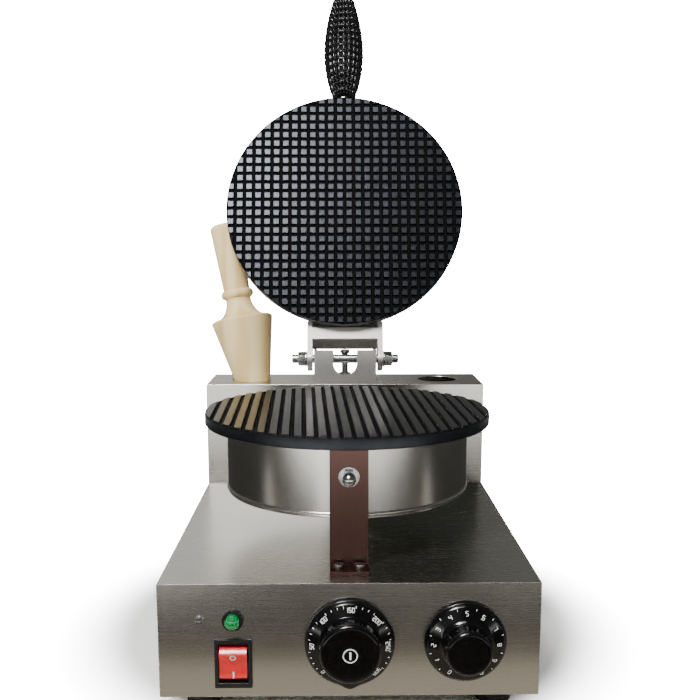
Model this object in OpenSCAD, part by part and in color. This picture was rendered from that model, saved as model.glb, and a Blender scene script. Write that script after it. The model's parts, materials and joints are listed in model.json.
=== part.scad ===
// Waffle cone maker: a hinged pair of round baking plates on a sheet steel stand.
// Millimetres. X runs to the right, Y to the back, Z up; the origin lies on the table
// under the middle of the case.

/* [Case] */
// Width of the case and of the rear column
case_w = 250; // [240:1:310]
// Depth of the case, from the control panel to the back
case_d = 317; // [310:1:400]
// Height of the case between its feet and its top
case_h = 78; // [74:1:110]
// Height of the rubber feet
foot_h = 14; // [10:1:25]
// Thickness of the stainless sheet
sheet_t = 1.2; // [1:0.1:2]

/* [Column] */
// Depth of the rear column
column_d = 66; // [60:1:76]
// Height of the rear column above the case
column_h = 91; // [88:1:120]
// Diameter of the round holes in the column's top
stand_hole_d = 35.5; // [32:0.5:38]

/* [Plates] */
// Diameter of both baking plates
plate_d = 215; // [180:1:222]
// Thickness of the lower plate's rim
plate_t = 9; // [8:0.5:12]
// Gap between the front of the case and the lower plate's rim
plate_setback = 16; // [10:1:22]
// Number of ribs across a plate
rib_count = 26; // [18:1:30]
// Depth of the baking pattern
rib_depth = 2; // [1.5:0.1:2.5]
// Gap between the two plates when the lid is shut
plate_gap = 1.5; // [1:0.1:3]
// Diameter of the drum under the lower plate
drum_d = 182; // [160:1:190]

/* [Hinge] */
// Angle through which the lid stands open
lid_open = 108; // [100:1:112]
// Diameter of the hinge pin
pin_d = 8; // [7:0.5:9]
// Width of the hinge bracket between its outer faces
bracket_w = 56; // [50:1:60]
// Running clearance on the hinge pin, on the radius
pin_clearance = 0.05; // [0.03:0.01:0.1]

/* [Handle] */
// Length of the studded grip
grip_l = 102; // [90:1:120]
// Largest diameter of the grip
grip_d = 37.5; // [34:0.5:42]

/* [Controls] */
// Diameter of the thermostat knob
thermostat_d = 59; // [50:1:62]
// Diameter of the timer knob
timer_d = 54; // [46:1:60]
// Diameter of the lamp lens
lamp_d = 9.5; // [8:0.5:12]

/* [Cone former] */
// Half angle of the wooden cone
cone_angle = 12; // [11:0.5:13]
// Lean of the cone former to the left where it stands in its hole
lean_left = 10.5; // [9:0.5:11]
// Lean of the cone former to the back, behind the open lid
lean_back = 11; // [10:0.5:12]

/* [Hidden] */
$fn = 64;

// Levels and places of the stand
case_top = foot_h + case_h;
front_y = -case_d / 2;
back_y = case_d / 2;
column_top = case_top + column_h;
column_front = back_y - column_d;
column_mid = back_y - column_d / 2;
hole_x = case_w / 2 - 38.5;

// Lower plate and its drum
plate_y = front_y + plate_setback + plate_d / 2;
plate_top = column_top + 2;
plate_under = plate_top - plate_t;
pitch = plate_d / rib_count;
rib_w = 0.67 * pitch;
rib_turn = 2;
drum_h = 50.5;
drum_bottom = plate_under - drum_h;
drum_wall = 1.5;
heater_r = plate_d * 0.31;
heater_d = 7;
insulation_t = 10;
clamp_t = 3;
stud_r = 32;
insulation_z = plate_under - heater_d - 1 - insulation_t;
clamp_z = insulation_z - clamp_t;

// Brackets that carry the drum
strip_w = 26;
strip_t = 3;
nut_drop = 29.5;
drum_nut_z = plate_top - nut_drop;
strip_gap = 1.5;
strip_y = plate_y - drum_d / 2 - strip_gap;

// Hinge
pin_y = column_front + 8;
pin_z = column_top + 22.2;
bracket_t = 2.5;
bracket_front = -7.5;
bracket_back = 30;
bracket_up = 8.5;
arm_gap = 1.5;
arm_t = 4.7;
arm_in = bracket_w / 2 + arm_gap;
arm_out = arm_in + arm_t;
pin_l = 96;
washer_t = 1.5;
web_z = 13.3;
web_t = 3;
web_start = -12;
stop_y = 18;
stop_gap = 0.4;

// Lid, drawn shut and measured from the hinge pin
lid_plate_y = plate_y - pin_y;
lid_face_z = plate_top - pin_z + plate_gap;
upper_t = 12;
lid_back_z = lid_face_z + upper_t;
cover_d = plate_d - 26;
upper_ring_r = cover_d / 2 - 9.85;
post_x = 22;
post_near = 20;
post_far = cover_d / 2 - 32.5;
post_d = 12;
lead_x = 34.5 - cover_d / 2;
lead_y = cover_d / 2 - 54.5;
lead_gland_d = 12;
cover_wall = 1.2;
handle_z = 5.2;
rod_d = 8;
rim_far = lid_plate_y - plate_d / 2;

// Control panel, heights measured down from the case's top
switch_x = -76;
switch_drop = 54;
switch_w = 24.5;
switch_h = 33.5;
lamp_drop = 24.5;
knob_drop = 39.5;
timer_x = 75.5;
screw_x = -97.5;
lamp_z = case_top - lamp_drop;
switch_z = case_top - switch_drop;
knob_z = case_top - knob_drop;
shaft_d = 6;

// Rear gland for the mains lead
gland_x = case_w / 2 - 40;
gland_z = foot_h + 30;
gland_d = 18;

// Small fixings
fit = 0.1;

// ---- helpers ----

// Round hole cutter or rod along Y, starting at y = 0 and running back
module rod_y(d, l) {
  rotate([-90, 0, 0]) cylinder(d = d, h = l);
}

// Rod along X, centred
module rod_x(d, l) {
  rotate([0, 90, 0]) cylinder(d = d, h = l, center = true);
}

// Screw that hangs down from z = 0, with a round head above it
module screw(d, l, head_d, head_h) {
  cylinder(d = head_d, h = head_h);
  translate([0, 0, -l]) cylinder(d = d, h = l + head_h / 2);
}

// Slotted head screw that hangs down from z = 0
module slotted_screw(d, l, head_d, head_h) {
  difference() {
    screw(d, l, head_d, head_h);
    translate([-head_d, -0.4, head_h * 0.55]) cube([2 * head_d, 0.8, head_h]);
  }
}

// Hexagon nut resting on z = 0
module hex_nut(bore, across, h) {
  difference() {
    cylinder(d = across / cos(30), h = h, $fn = 6);
    translate([0, 0, -1]) cylinder(d = bore, h = h + 2);
  }
}

// Flat washer resting on z = 0
module washer(bore, d, h) {
  difference() {
    cylinder(d = d, h = h);
    translate([0, 0, -1]) cylinder(d = bore, h = h + 2);
  }
}

// Places its children at the four corners of a rectangle
module at_corners(dx, dy) {
  for (sx = [-1, 1])
    for (sy = [-1, 1])
      translate([sx * dx, sy * dy, 0]) children();
}

// Places its children on a ring
module on_ring(r, count, start) {
  for (i = [0 : count - 1])
    rotate([0, 0, start + i * 360 / count]) translate([r, 0, 0]) children();
}

// Carries the lid's pieces from the shut position to the open one
module on_lid() {
  translate([0, pin_y, pin_z]) rotate([-lid_open, 0, 0]) children();
}

// Whole lean of the cone former and the direction it leans in
cone_lean = atan(norm([tan(lean_left), tan(lean_back)]));
lean_towards = atan2(tan(lean_back), -tan(lean_left));

// Distance from the leaning cone's axis to the middle of the oval it makes in the hole
function lean_shift() =
  let (apex = cone_r / tan(cone_angle) * cos(cone_lean))
  apex * ((tan(cone_angle + cone_lean) - tan(cone_angle - cone_lean)) / 2 - tan(cone_lean));

// The four places where the hinge arm is screwed to the upper plate, from the plate's middle
module at_posts() {
  for (x = [-post_x, post_x])
    for (y = [post_near, post_far])
      translate([x, y, 0]) children();
}

// Carries the cone former to its hole
module in_stand_hole() {
  translate([-hole_x, column_mid, column_top]) rotate([0, 0, lean_towards])
    translate([-lean_shift(), 0, 0]) rotate([0, cone_lean, 0]) children();
}

// ---- case ----

foot_in_x = case_w / 2 - 26;
foot_in_y = case_d / 2 - 26;
floor_screw_x = case_w / 2 - 8;
floor_screw_y = case_d / 2 - 60;
floor_t = 1.2;
flange_w = 14;
wire_slot_w = 150;
wire_slot_d = 40;

// Cutters for everything that passes through the control panel
module panel_holes() {
  depth = 6;
  translate([0, front_y - 2, 0]) {
    translate([0, 0, knob_z]) rod_y(11, depth);
    translate([timer_x, 0, knob_z]) rod_y(11, depth);
    translate([switch_x, 0, lamp_z]) rod_y(10.2, depth);
    translate([screw_x, 0, lamp_z]) rod_y(3 + 2 * fit, depth);
    translate([switch_x - 10.6, 0, switch_z - 15]) cube([21.2, depth, 30]);
  }
}

module case_shell() {
  color("silver") difference() {
    union() {
      translate([-case_w / 2, front_y, foot_h]) cube([case_w, case_d, case_h]);
    }
    difference() {
      translate([-case_w / 2 + sheet_t, front_y + sheet_t, foot_h - 1])
        cube([case_w - 2 * sheet_t, case_d - 2 * sheet_t, case_h + 1 - sheet_t]);
      // Turned-in flanges along both sides carry the floor
      for (s = [-1, 1])
        translate([s * (case_w / 2 - flange_w / 2) - flange_w / 2, front_y + 40, foot_h + floor_t])
          difference() {
            cube([flange_w, case_d - 80, sheet_t]);
            for (e = [-1, 1])
              translate([flange_w / 2 - s * (8 - flange_w / 2), case_d / 2 - 40 + e * floor_screw_y, -1])
                cylinder(d = 3 + 2 * fit, h = 4);
          }
    }
    panel_holes();
    translate([0, plate_y, case_top - 5]) cylinder(d = 16 + 2 * fit, h = 10);
    translate([-wire_slot_w / 2, column_mid - wire_slot_d / 2, case_top - 5])
      cube([wire_slot_w, wire_slot_d, 10]);
    translate([gland_x, back_y - 5, gland_z]) rod_y(gland_d + 2 * fit, 10);
    for (y = [strip_y - 9, plate_y + drum_d / 2 + strip_gap + 9])
      for (s = [-1, 1])
        translate([s * 7, y, case_top - 5]) cylinder(d = 4 + 2 * fit, h = 10);
  }
}

module case_floor() {
  gap = 0.3;
  color("silver") difference() {
    translate([-case_w / 2 + sheet_t + gap, front_y + sheet_t + gap, foot_h])
      cube([case_w - 2 * (sheet_t + gap), case_d - 2 * (sheet_t + gap), floor_t]);
    at_corners(foot_in_x, foot_in_y) cylinder(d = 5 + 2 * fit, h = foot_h + 5);
    at_corners(floor_screw_x, floor_screw_y) cylinder(d = 3 + 2 * fit, h = foot_h + 5);
    for (i = [-4 : 4])
      translate([i * 16 - 3, -55, foot_h - 1]) cube([6, 110, 5]);
  }
}

module floor_screws() {
  color("gainsboro") at_corners(floor_screw_x, floor_screw_y)
    translate([0, 0, foot_h]) mirror([0, 0, 1]) slotted_screw(3, 8, 5.5, 2);
}

module feet() {
  color("dimgray") at_corners(foot_in_x, foot_in_y) difference() {
    cylinder(d1 = 24, d2 = 30, h = foot_h);
    translate([0, 0, -1]) cylinder(d = 12, h = 6);
    cylinder(d = 5 + 2 * fit, h = foot_h + 1);
  }
}

module foot_bolts() {
  color("gainsboro") at_corners(foot_in_x, foot_in_y) {
    translate([0, 0, 5]) mirror([0, 0, 1]) screw(5, foot_h - 5 + floor_t + 6, 9, 3);
    translate([0, 0, foot_h + floor_t]) hex_nut(5 + 2 * fit, 8, 4);
  }
}

// ---- rear column ----

back_screw_x = case_w / 2 - 7;

// Heights of the screws on the back cover
function back_screw_z() = [case_top + 12, case_top + column_h / 2, column_top - 12];

module column_shell() {
  color("silver") difference() {
    translate([-case_w / 2, column_front, case_top]) cube([case_w, column_d, column_h]);
    difference() {
      translate([-case_w / 2 + sheet_t, column_front + sheet_t, case_top - 1])
        cube([case_w - 2 * sheet_t, column_d, column_h + 1 - sheet_t]);
      // Flanges that the back cover is screwed to
      for (s = [-1, 1])
        translate([s * (case_w / 2 - 7) - 7, back_y - 2.4 - sheet_t, case_top])
          cube([14, sheet_t, column_h]);
    }
    for (s = [-1, 1])
      translate([s * hole_x, column_mid, column_top - 5]) cylinder(d = stand_hole_d, h = 10);
    for (s = [-1, 1])
      for (z = back_screw_z())
        translate([s * back_screw_x, back_y - 8, z]) rod_y(3 + 2 * fit, 10);
    for (s = [-1, 1])
      translate([s * 20, pin_y + 24, column_top - 5]) cylinder(d = 5 + 2 * fit, h = 10);
    translate([0, pin_y + stop_y, column_top - 5]) cylinder(d = 6 + 2 * fit, h = 10);
  }
}

module column_back() {
  gap = 0.3;
  color("silver") difference() {
    translate([-case_w / 2 + sheet_t + gap, back_y - 2.4, case_top])
      cube([case_w - 2 * (sheet_t + gap), sheet_t, column_h - sheet_t - gap]);
    for (s = [-1, 1])
      for (z = back_screw_z())
        translate([s * back_screw_x, back_y - 8, z]) rod_y(3 + 2 * fit, 10);
    for (i = [-5 : 5])
      translate([i * 14 - 2.5, back_y - 5, case_top + 26]) cube([5, 8, column_h - 50]);
  }
}

module column_screws() {
  color("gainsboro")
    for (s = [-1, 1])
      for (z = back_screw_z())
        translate([s * back_screw_x, back_y - 2.4 + sheet_t, z])
          rotate([-90, 0, 0]) slotted_screw(3, 6, 5.5, 2);
}

// ---- hinge ----

module hinge_bracket() {
  notch_w = 21;
  notch_floor = -14;
  low = column_top - pin_z;
  color("lightgray") translate([0, pin_y, pin_z]) difference() {
    union() {
      // Foot flange
      translate([-33, bracket_front, low]) cube([66, bracket_back - bracket_front, bracket_t]);
      // Front web
      translate([-bracket_w / 2, bracket_front, low])
        cube([bracket_w, bracket_t, bracket_up - low]);
      // Ears
      for (s = [-1, 1])
        translate([s * (bracket_w - bracket_t) / 2 - bracket_t / 2, bracket_front, low])
          difference() {
            cube([bracket_t, bracket_back - bracket_front, bracket_up - low]);
            translate([-1, 20, bracket_t + 4]) cube([bracket_t + 2, 30, 60]);
          }
    }
    rod_x(pin_d + 2 * pin_clearance, 2 * bracket_w);
    // Rounded notch in the front web
    translate([0, bracket_front - 1, notch_floor + notch_w / 2]) {
      rod_y(notch_w, bracket_t + 2);
      translate([-notch_w / 2, 0, 0]) cube([notch_w, bracket_t + 2, 40]);
    }
    for (s = [-1, 1])
      translate([s * 20, 24, low - 1]) cylinder(d = 5 + 2 * fit, h = 6);
    translate([0, stop_y, low - 1]) cylinder(d = 6 + 2 * fit, h = 6);
  }
}

module bracket_screws() {
  color("gainsboro") for (s = [-1, 1])
    translate([s * 20, pin_y + 24, column_top + bracket_t]) screw(5, 14, 9, 3);
}

module hinge_pin() {
  color("gainsboro") translate([0, pin_y, pin_z]) {
    rod_x(pin_d, pin_l);
  }
}

module pin_nuts() {
  start = arm_out + 0.3 + washer_t;
  color("gainsboro") translate([0, pin_y, pin_z])
    for (s = [0, 180])
      rotate([0, 90, s]) translate([0, 0, start]) hex_nut(pin_d + 2 * pin_clearance, 11.5, 6.5);
}

module pin_washers() {
  color("silver") translate([0, pin_y, pin_z])
    for (s = [0, 180])
      rotate([0, 90, s]) translate([0, 0, arm_out + 0.3]) washer(pin_d + 2 * pin_clearance, 14, washer_t);
}

// Level where the open arm's lower edge comes to rest, measured from the pin
function arm_edge_y() = web_start * cos(lid_open) + (web_z + web_t) * sin(lid_open);
function arm_edge_z() = -web_start * sin(lid_open) + (web_z + web_t) * cos(lid_open);

module stop_screw() {
  top = pin_z + arm_edge_z() - stop_gap;
  color("gainsboro") translate([0, pin_y + stop_y, 0]) {
    translate([0, 0, column_top - 8]) cylinder(d = 6, h = top - column_top + 6);
    translate([0, 0, top - 3]) cylinder(d = 9, h = 3);
  }
}

module stop_nut() {
  color("silver") translate([0, pin_y + stop_y, column_top + bracket_t]) hex_nut(6 + 2 * fit, 10, 5);
}

// ---- drum and lower plate ----

module drum_shell() {
  lip = 3;
  color("silver") translate([0, plate_y, drum_bottom]) difference() {
    union() {
      cylinder(d = drum_d, h = drum_h);
      // Rolled bead round the bottom
      translate([0, 0, 2.5]) rotate_extrude() translate([drum_d / 2 - 0.8, 0]) circle(d = 3.6);
    }
    translate([0, 0, drum_wall]) cylinder(d = drum_d - 2 * drum_wall, h = drum_h);
    translate([0, 0, -1]) cylinder(d = drum_d - 2 * lip - 8, h = 5);
    for (a = [-90, 90])
      rotate([0, 0, a]) translate([drum_d / 2 - 5, 0, drum_nut_z - drum_bottom])
        rotate([0, 90, 0]) cylinder(d = 6 + 2 * fit, h = 10);
  }
}

module drum_pan() {
  color("silver") translate([0, plate_y, drum_bottom + drum_wall]) difference() {
    cylinder(d = drum_d - 2 * drum_wall - 1, h = 1.2);
    translate([0, 0, -1]) cylinder(d = 16 + 2 * fit, h = 4);
  }
}

module lower_plate() {
  boss_h = plate_under - clamp_z + 1;
  color("#1b1d20") translate([0, plate_y, 0]) {
    difference() {
      union() {
        translate([0, 0, plate_under]) cylinder(d = plate_d, h = plate_t - rib_depth);
        rotate([0, 0, rib_turn]) intersection() {
          translate([0, 0, plate_under + 1]) cylinder(d = plate_d, h = plate_t - 1);
          for (i = [0 : rib_count - 1])
            translate([(i + 0.5 - rib_count / 2) * pitch - rib_w / 2, -plate_d, plate_under])
              cube([rib_w, 2 * plate_d, plate_t]);
        }
        // Locating ring inside the drum
        translate([0, 0, plate_under - 4]) cylinder(d = drum_d - 2 * drum_wall - 2, h = 5);
      }
      translate([0, 0, plate_under - 5]) cylinder(d = drum_d - 2 * drum_wall - 12, h = 5);
    }
    on_ring(stud_r, 3, 90) translate([0, 0, clamp_z - 10]) cylinder(d = 6, h = boss_h + 10);
  }
}

// Open heating ring with a thinner terminal pin turned down at each end
module heating_ring(r, d) {
  rotate_extrude(angle = 340) translate([r, 0]) circle(d = d);
  for (a = [3, 337])
    rotate([0, 0, a]) translate([r, 0, -16]) cylinder(d = 4, h = 16);
}

module lower_heater() {
  color("dimgray") translate([0, plate_y, plate_under - heater_d / 2 - 0.3])
    rotate([0, 0, 100]) heating_ring(heater_r, heater_d);
}

module heater_end_holes(r, d) {
  for (a = [3, 337])
    rotate([0, 0, a]) translate([r, 0, -30]) cylinder(d = d, h = 60);
}

module lower_insulation() {
  color("ivory") translate([0, plate_y, insulation_z]) difference() {
    cylinder(d = drum_d - 22, h = insulation_t);
    on_ring(stud_r, 3, 90) translate([0, 0, -1]) cylinder(d = 7, h = insulation_t + 2);
    rotate([0, 0, 100]) heater_end_holes(heater_r, heater_d);
    translate([20, 0, -1]) cylinder(d = 8, h = insulation_t + 2);
  }
}

module lower_clamp() {
  color("silver") translate([0, plate_y, clamp_z]) difference() {
    cylinder(d = drum_d - 60, h = clamp_t);
    on_ring(stud_r, 3, 90) translate([0, 0, -1]) cylinder(d = 6 + 2 * fit, h = clamp_t + 2);
    rotate([0, 0, 100]) heater_end_holes(heater_r, heater_d);
    translate([20, 0, -1]) cylinder(d = 8, h = clamp_t + 2);
  }
}

module clamp_nuts() {
  color("gainsboro") translate([0, plate_y, clamp_z - 5])
    on_ring(stud_r, 3, 90) hex_nut(6 + 2 * fit, 10, 5);
}

// Upright strip with a foot, drawn for the front of the drum
module drum_strip(height) {
  difference() {
    union() {
      translate([-strip_w / 2, -strip_t, 0]) cube([strip_w, strip_t, height]);
      translate([-strip_w / 2, -18, 0]) cube([strip_w, 18, strip_t]);
    }
    translate([0, -strip_t - 1, drum_nut_z - case_top]) rod_y(6 + 2 * fit, strip_t + 2);
    for (s = [-1, 1])
      translate([s * 7, -9, -1]) cylinder(d = 4 + 2 * fit, h = strip_t + 2);
  }
}

strip_top = plate_under - case_top - 0.8;

module front_bracket() {
  color("silver") translate([0, strip_y, case_top]) drum_strip(strip_top);
}

module rear_bracket() {
  color("silver") translate([0, 2 * plate_y - strip_y, case_top]) mirror([0, 1, 0]) drum_strip(strip_top);
}

// Acorn nut on a short stud, pointing to -Y from y = 0
module cap_nut() {
  rotate([90, 0, 0]) {
    cylinder(d = 10 / cos(30), h = 4.5, $fn = 6);
    translate([0, 0, 4]) cylinder(d = 9.2, h = 2.5);
    translate([0, 0, 6.5]) intersection() {
      sphere(d = 9.2);
      translate([0, 0, -1]) cylinder(d = 10, h = 10);
    }
    translate([0, 0, -9]) cylinder(d = 6, h = 10);
  }
}

module drum_nuts() {
  color("gainsboro") {
    translate([0, strip_y - strip_t - 1, drum_nut_z]) cap_nut();
    translate([0, 2 * plate_y - strip_y + strip_t + 1, drum_nut_z]) mirror([0, 1, 0]) cap_nut();
  }
}

module drum_washers() {
  color("silver") {
    translate([0, strip_y - strip_t, drum_nut_z]) rotate([90, 0, 0]) washer(6 + 2 * fit, 14, 1);
    translate([0, 2 * plate_y - strip_y + strip_t, drum_nut_z])
      rotate([-90, 0, 0]) washer(6 + 2 * fit, 14, 1);
  }
}

module bracket_bolts() {
  color("gainsboro")
    for (y = [strip_y - 9, 2 * plate_y - strip_y + 9])
      for (s = [-1, 1])
        translate([s * 7, y, case_top + strip_t]) screw(4, 12, 7, 2.4);
}

module lead_tube() {
  color("gainsboro") translate([0, plate_y, case_top - 8]) difference() {
    union() {
      cylinder(d = 16, h = drum_bottom + 8 - case_top + 8);
      translate([0, 0, 8]) cylinder(d = 22, h = 2);
      translate([0, 0, 4]) cylinder(d = 20, h = 4 - sheet_t);
    }
    translate([0, 0, -1]) cylinder(d = 13, h = 80);
  }
}

// Lead in straight runs between the given points, with a small ball at each bend
module lead_run(points, d) {
  for (i = [0 : len(points) - 2]) {
    step = points[i + 1] - points[i];
    reach = norm(step);
    translate(points[i]) {
      rotate([0, acos(step[2] / reach), atan2(step[1], step[0])]) cylinder(d = d, h = reach);
      if (i > 0)
        sphere(d = 1.3 * d);
    }
  }
}

module lower_leads() {
  end_z = plate_under - heater_d / 2 - 17.5;
  color("firebrick") translate([0, plate_y, 0])
    for (a = [103, 77]) {
      x = heater_r * cos(a);
      y = heater_r * sin(a);
      side = x / abs(x);
      lead_run([[x, y, end_z], [x, y, drum_bottom + 8], [side * 3, 0, drum_bottom + 12],
                [side * 3, 0, case_top - 12], [side * 3, 0, foot_h + 40]], 3);
    }
}

// ---- controls ----

module thermostat_body() {
  color("whitesmoke") translate([0, front_y + sheet_t, knob_z]) difference() {
    union() {
      translate([-20, 0, -16]) cube([40, 2, 32]);
      translate([-17, 1, -17]) cube([34, 28, 34]);
      rod_y(10, 2);
      translate([0, -sheet_t, 0]) rod_y(10, 3);
    }
    translate([0, -5, 0]) rod_y(shaft_d + 0.6, 25);
  }
}

module thermostat_bulb() {
  bulb_z = plate_under - 5;
  start_y = front_y + sheet_t + 29;
  color("peru") {
    translate([-28, plate_y, bulb_z]) rod_y(6, 42);
    lead_run([[0, start_y + 0.5, knob_z], [0, start_y + 20, knob_z], [0, plate_y - 4.5, knob_z + 4],
              [0, plate_y - 4.5, drum_bottom + 10], [20, plate_y, drum_bottom + 12],
              [20, plate_y, bulb_z], [-28, plate_y, bulb_z]], 2);
  }
}

module timer_body() {
  color("whitesmoke") translate([timer_x, front_y + sheet_t, knob_z]) difference() {
    union() {
      translate([-22, 0, -22]) cube([44, 2, 44]);
      rod_y(44, 34);
      translate([0, -sheet_t, 0]) rod_y(10, 3);
      for (x = [-12, 0, 12])
        translate([x - 3, 33, -4]) cube([6, 9, 0.8]);
    }
    translate([0, -5, 0]) rod_y(shaft_d + 0.6, 25);
  }
}

bezel_t = 2;
rocker_w = 18.4;
rocker_h = 26;

module switch_housing() {
  color("#151515") translate([switch_x, front_y, switch_z]) difference() {
    union() {
      translate([-switch_w / 2, -bezel_t, -switch_h / 2]) cube([switch_w, bezel_t, switch_h]);
      translate([-10.5, -0.5, -14.9]) cube([21, 26, 29.8]);
      for (z = [-9, 0, 9])
        translate([-3, 25, z - 0.4]) cube([6, 9, 0.8]);
    }
    translate([-rocker_w / 2 - 0.4, -5, -rocker_h / 2 - 0.4])
      cube([rocker_w + 0.8, 21, rocker_h + 0.8]);
  }
}

rocker_axis_y = 6;
rocker_tilt = 8;

// Rocker, drawn level and then tipped so that its lower end stands out
module rocker() {
  color("#d1231f") translate([switch_x, front_y + rocker_axis_y, switch_z]) rotate([rocker_tilt, 0, 0])
    difference() {
      intersection() {
        translate([-rocker_w / 2, -11, -rocker_h / 2 + 0.6]) cube([rocker_w, 13, rocker_h - 1.2]);
        rotate([0, 90, 0]) cylinder(r = rocker_h / 2 - 0.2, h = 40, center = true);
      }
      // Hollowed front face
      translate([0, -11 - 16.5, 0]) rotate([0, 90, 0]) cylinder(r = 19.5, h = 40, center = true);
    }
}

module lamp_holder() {
  color("#202020") translate([switch_x, front_y, lamp_z]) difference() {
    union() {
      translate([0, -2, 0]) rod_y(14, 2);
      rod_y(10, 20);
      translate([0, sheet_t, 0]) rod_y(15, 3);
      for (s = [-1, 1])
        translate([s * 2.5 - 0.4, 19, -2]) cube([0.8, 8, 4]);
    }
    translate([0, -3, 0]) rod_y(8.6, 16);
    translate([0, -3, 0]) rod_y(lamp_d + 2 * fit, 2.2);
  }
}

module lamp_lens() {
  color("darkgreen") translate([switch_x, front_y, lamp_z]) {
    translate([0, -5.5, 0]) rod_y(lamp_d, 4.6);
    rod_y(8.4, 8);
    translate([0, -1, 0]) rod_y(8.4, 2);
    intersection() {
      translate([0, -5.5 + 5.5, 0]) sphere(r = 7.25);
      translate([0, -10, 0]) rod_y(lamp_d, 6);
    }
  }
}

module panel_screw() {
  color("gainsboro") translate([screw_x, front_y, lamp_z]) rotate([90, 0, 0]) slotted_screw(3, 8, 5.5, 1.6);
}

module terminal_block() {
  color("ivory") translate([gland_x - 60, back_y - 70, foot_h + floor_t]) difference() {
    cube([44, 22, 17]);
    for (i = [0 : 3]) {
      translate([5.5 + i * 11, -1, 6]) rod_y(4, 24);
      translate([5.5 + i * 11, 11, 8]) cylinder(d = 5, h = 12);
    }
  }
}

module earth_stud() {
  color("goldenrod") translate([gland_x - 90, back_y - 40, foot_h + floor_t]) {
    cylinder(d = 5, h = 16);
    cylinder(d = 9, h = 2);
    translate([0, 0, 8]) cylinder(d = 8 / cos(30), h = 4, $fn = 6);
  }
}

module cable_gland() {
  color("#1a1a1a") translate([gland_x, back_y, gland_z]) difference() {
    union() {
      translate([0, -12, 0]) rod_y(gland_d, 14);
      rotate([-90, 0, 0]) cylinder(d = 22 / cos(30), h = 5, $fn = 6);
      translate([0, 4, 0]) rod_y(20, 8);
      translate([0, 12, 0]) rotate([-90, 0, 0]) cylinder(d1 = 20, d2 = 14, h = 5);
    }
    translate([0, -20, 0]) rod_y(8.5, 50);
  }
}

module gland_nut() {
  color("#1a1a1a") translate([gland_x, back_y - sheet_t - 4, gland_z]) rotate([-90, 0, 0])
    hex_nut(gland_d + 2 * fit, 22, 4);
}

module case_leads() {
  low = foot_h + 24;
  color("firebrick") {
    lead_run([[switch_x, front_y + 38, switch_z], [switch_x, front_y + 60, low],
              [gland_x - 54.5, back_y - 100, low], [gland_x - 54.5, back_y - 74, foot_h + 8.2]], 2.4);
    lead_run([[timer_x, front_y + 48, knob_z], [timer_x, front_y + 60, low],
              [gland_x - 32.5, back_y - 100, low], [gland_x - 32.5, back_y - 74, foot_h + 8.2]], 2.4);
  }
}

// Knob outline that turns about Y: skirt towards the panel, cap in front
module thermostat_knob() {
  r = thermostat_d / 2;
  color("#0e0e10") translate([0, front_y - 1.5, knob_z]) difference() {
    union() {
      rotate([90, 0, 0]) rotate_extrude()
        polygon([[0, 0], [r, 0], [r, 2.5], [r - 1.5, 5], [r - 8, 8], [20.4, 8.6], [19.6, 19],
                 [18, 20.5], [0, 20.5]]);
      // Pointer lobe
      translate([0, 0, -r + 4.6]) rotate([90, 0, 0]) cylinder(d = 14, h = 6);
    }
    translate([0, 1, 0]) mirror([0, 1, 0]) rod_y(shaft_d + 2 * fit, 14);
    translate([0, -20, 0]) mirror([0, 1, 0]) rod_y(11 + 2 * fit, 2);
  }
}

module thermostat_cap() {
  color("silver") translate([0, front_y - 1.5 - 20, knob_z]) mirror([0, 1, 0]) rod_y(11, 0.8);
}

module thermostat_shaft() {
  color("goldenrod") translate([0, front_y - 1.5, knob_z]) translate([0, -12, 0]) rod_y(shaft_d, 30);
}

module timer_knob() {
  r = timer_d / 2;
  color("#0e0e10") translate([timer_x, front_y - 1.5, knob_z]) difference() {
    union() {
      rotate([90, 0, 0]) rotate_extrude()
        polygon([[0, 0], [r, 0], [r, 2], [r - 2, 4.5], [17.5, 7], [15.6, 9], [14.8, 19.5],
                 [13.4, 21], [0, 21]]);
    }
    translate([0, 1, 0]) mirror([0, 1, 0]) rod_y(shaft_d + 2 * fit, 14);
  }
}

module timer_shaft() {
  color("goldenrod") translate([timer_x, front_y - 13.5, knob_z]) rod_y(shaft_d, 30);
}

// ---- lid ----

module upper_plate() {
  slot_w = pitch - rib_w;
  color("#1b1d20") on_lid() translate([0, lid_plate_y, lid_face_z]) {
    difference() {
      cylinder(d = plate_d, h = upper_t);
      for (i = [0 : rib_count]) {
        at = (i - rib_count / 2) * pitch - slot_w / 2;
        translate([at, -plate_d, -1]) cube([slot_w, 2 * plate_d, rib_depth + 1]);
        translate([-plate_d, at, -1]) cube([2 * plate_d, slot_w, rib_depth + 1]);
      }
    }
    // Boss for the handle rod and four posts for the hinge arm
    difference() {
      translate([-12, -plate_d / 2 + 20, upper_t - 1]) cube([24, 26, 17.5]);
      translate([0, -plate_d / 2, handle_z - lid_face_z]) rod_y(rod_d + 2 * fit, 42);
    }
    translate([0, 0, upper_t - 1]) at_posts() difference() {
      cylinder(d = post_d, h = web_z - cover_wall - lid_face_z - upper_t + 0.6);
      translate([0, 0, 6]) cylinder(d = 5 + 2 * fit, h = 30);
    }
  }
}

upper_ring_z = lid_back_z + heater_d / 2 + 0.3;

module upper_heater() {
  color("dimgray") on_lid() translate([0, lid_plate_y, upper_ring_z])
    rotate([0, 0, 280]) rotate_extrude(angle = 340) translate([upper_ring_r, 0]) circle(d = heater_d);
}

module upper_insulation() {
  color("ivory") on_lid() translate([0, lid_plate_y, lid_back_z + heater_d + 1]) difference() {
    cylinder(d = cover_d - 2 * cover_wall - 3, h = 8);
    translate([0, 0, -1]) {
      translate([-14, -plate_d / 2 + 5, 0]) cube([28, 43, 12]);
      translate([lead_x, lead_y, 0]) cylinder(d = lead_gland_d + 1, h = 12);
      at_posts() cylinder(d = post_d + 1, h = 12);
    }
  }
}

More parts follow.
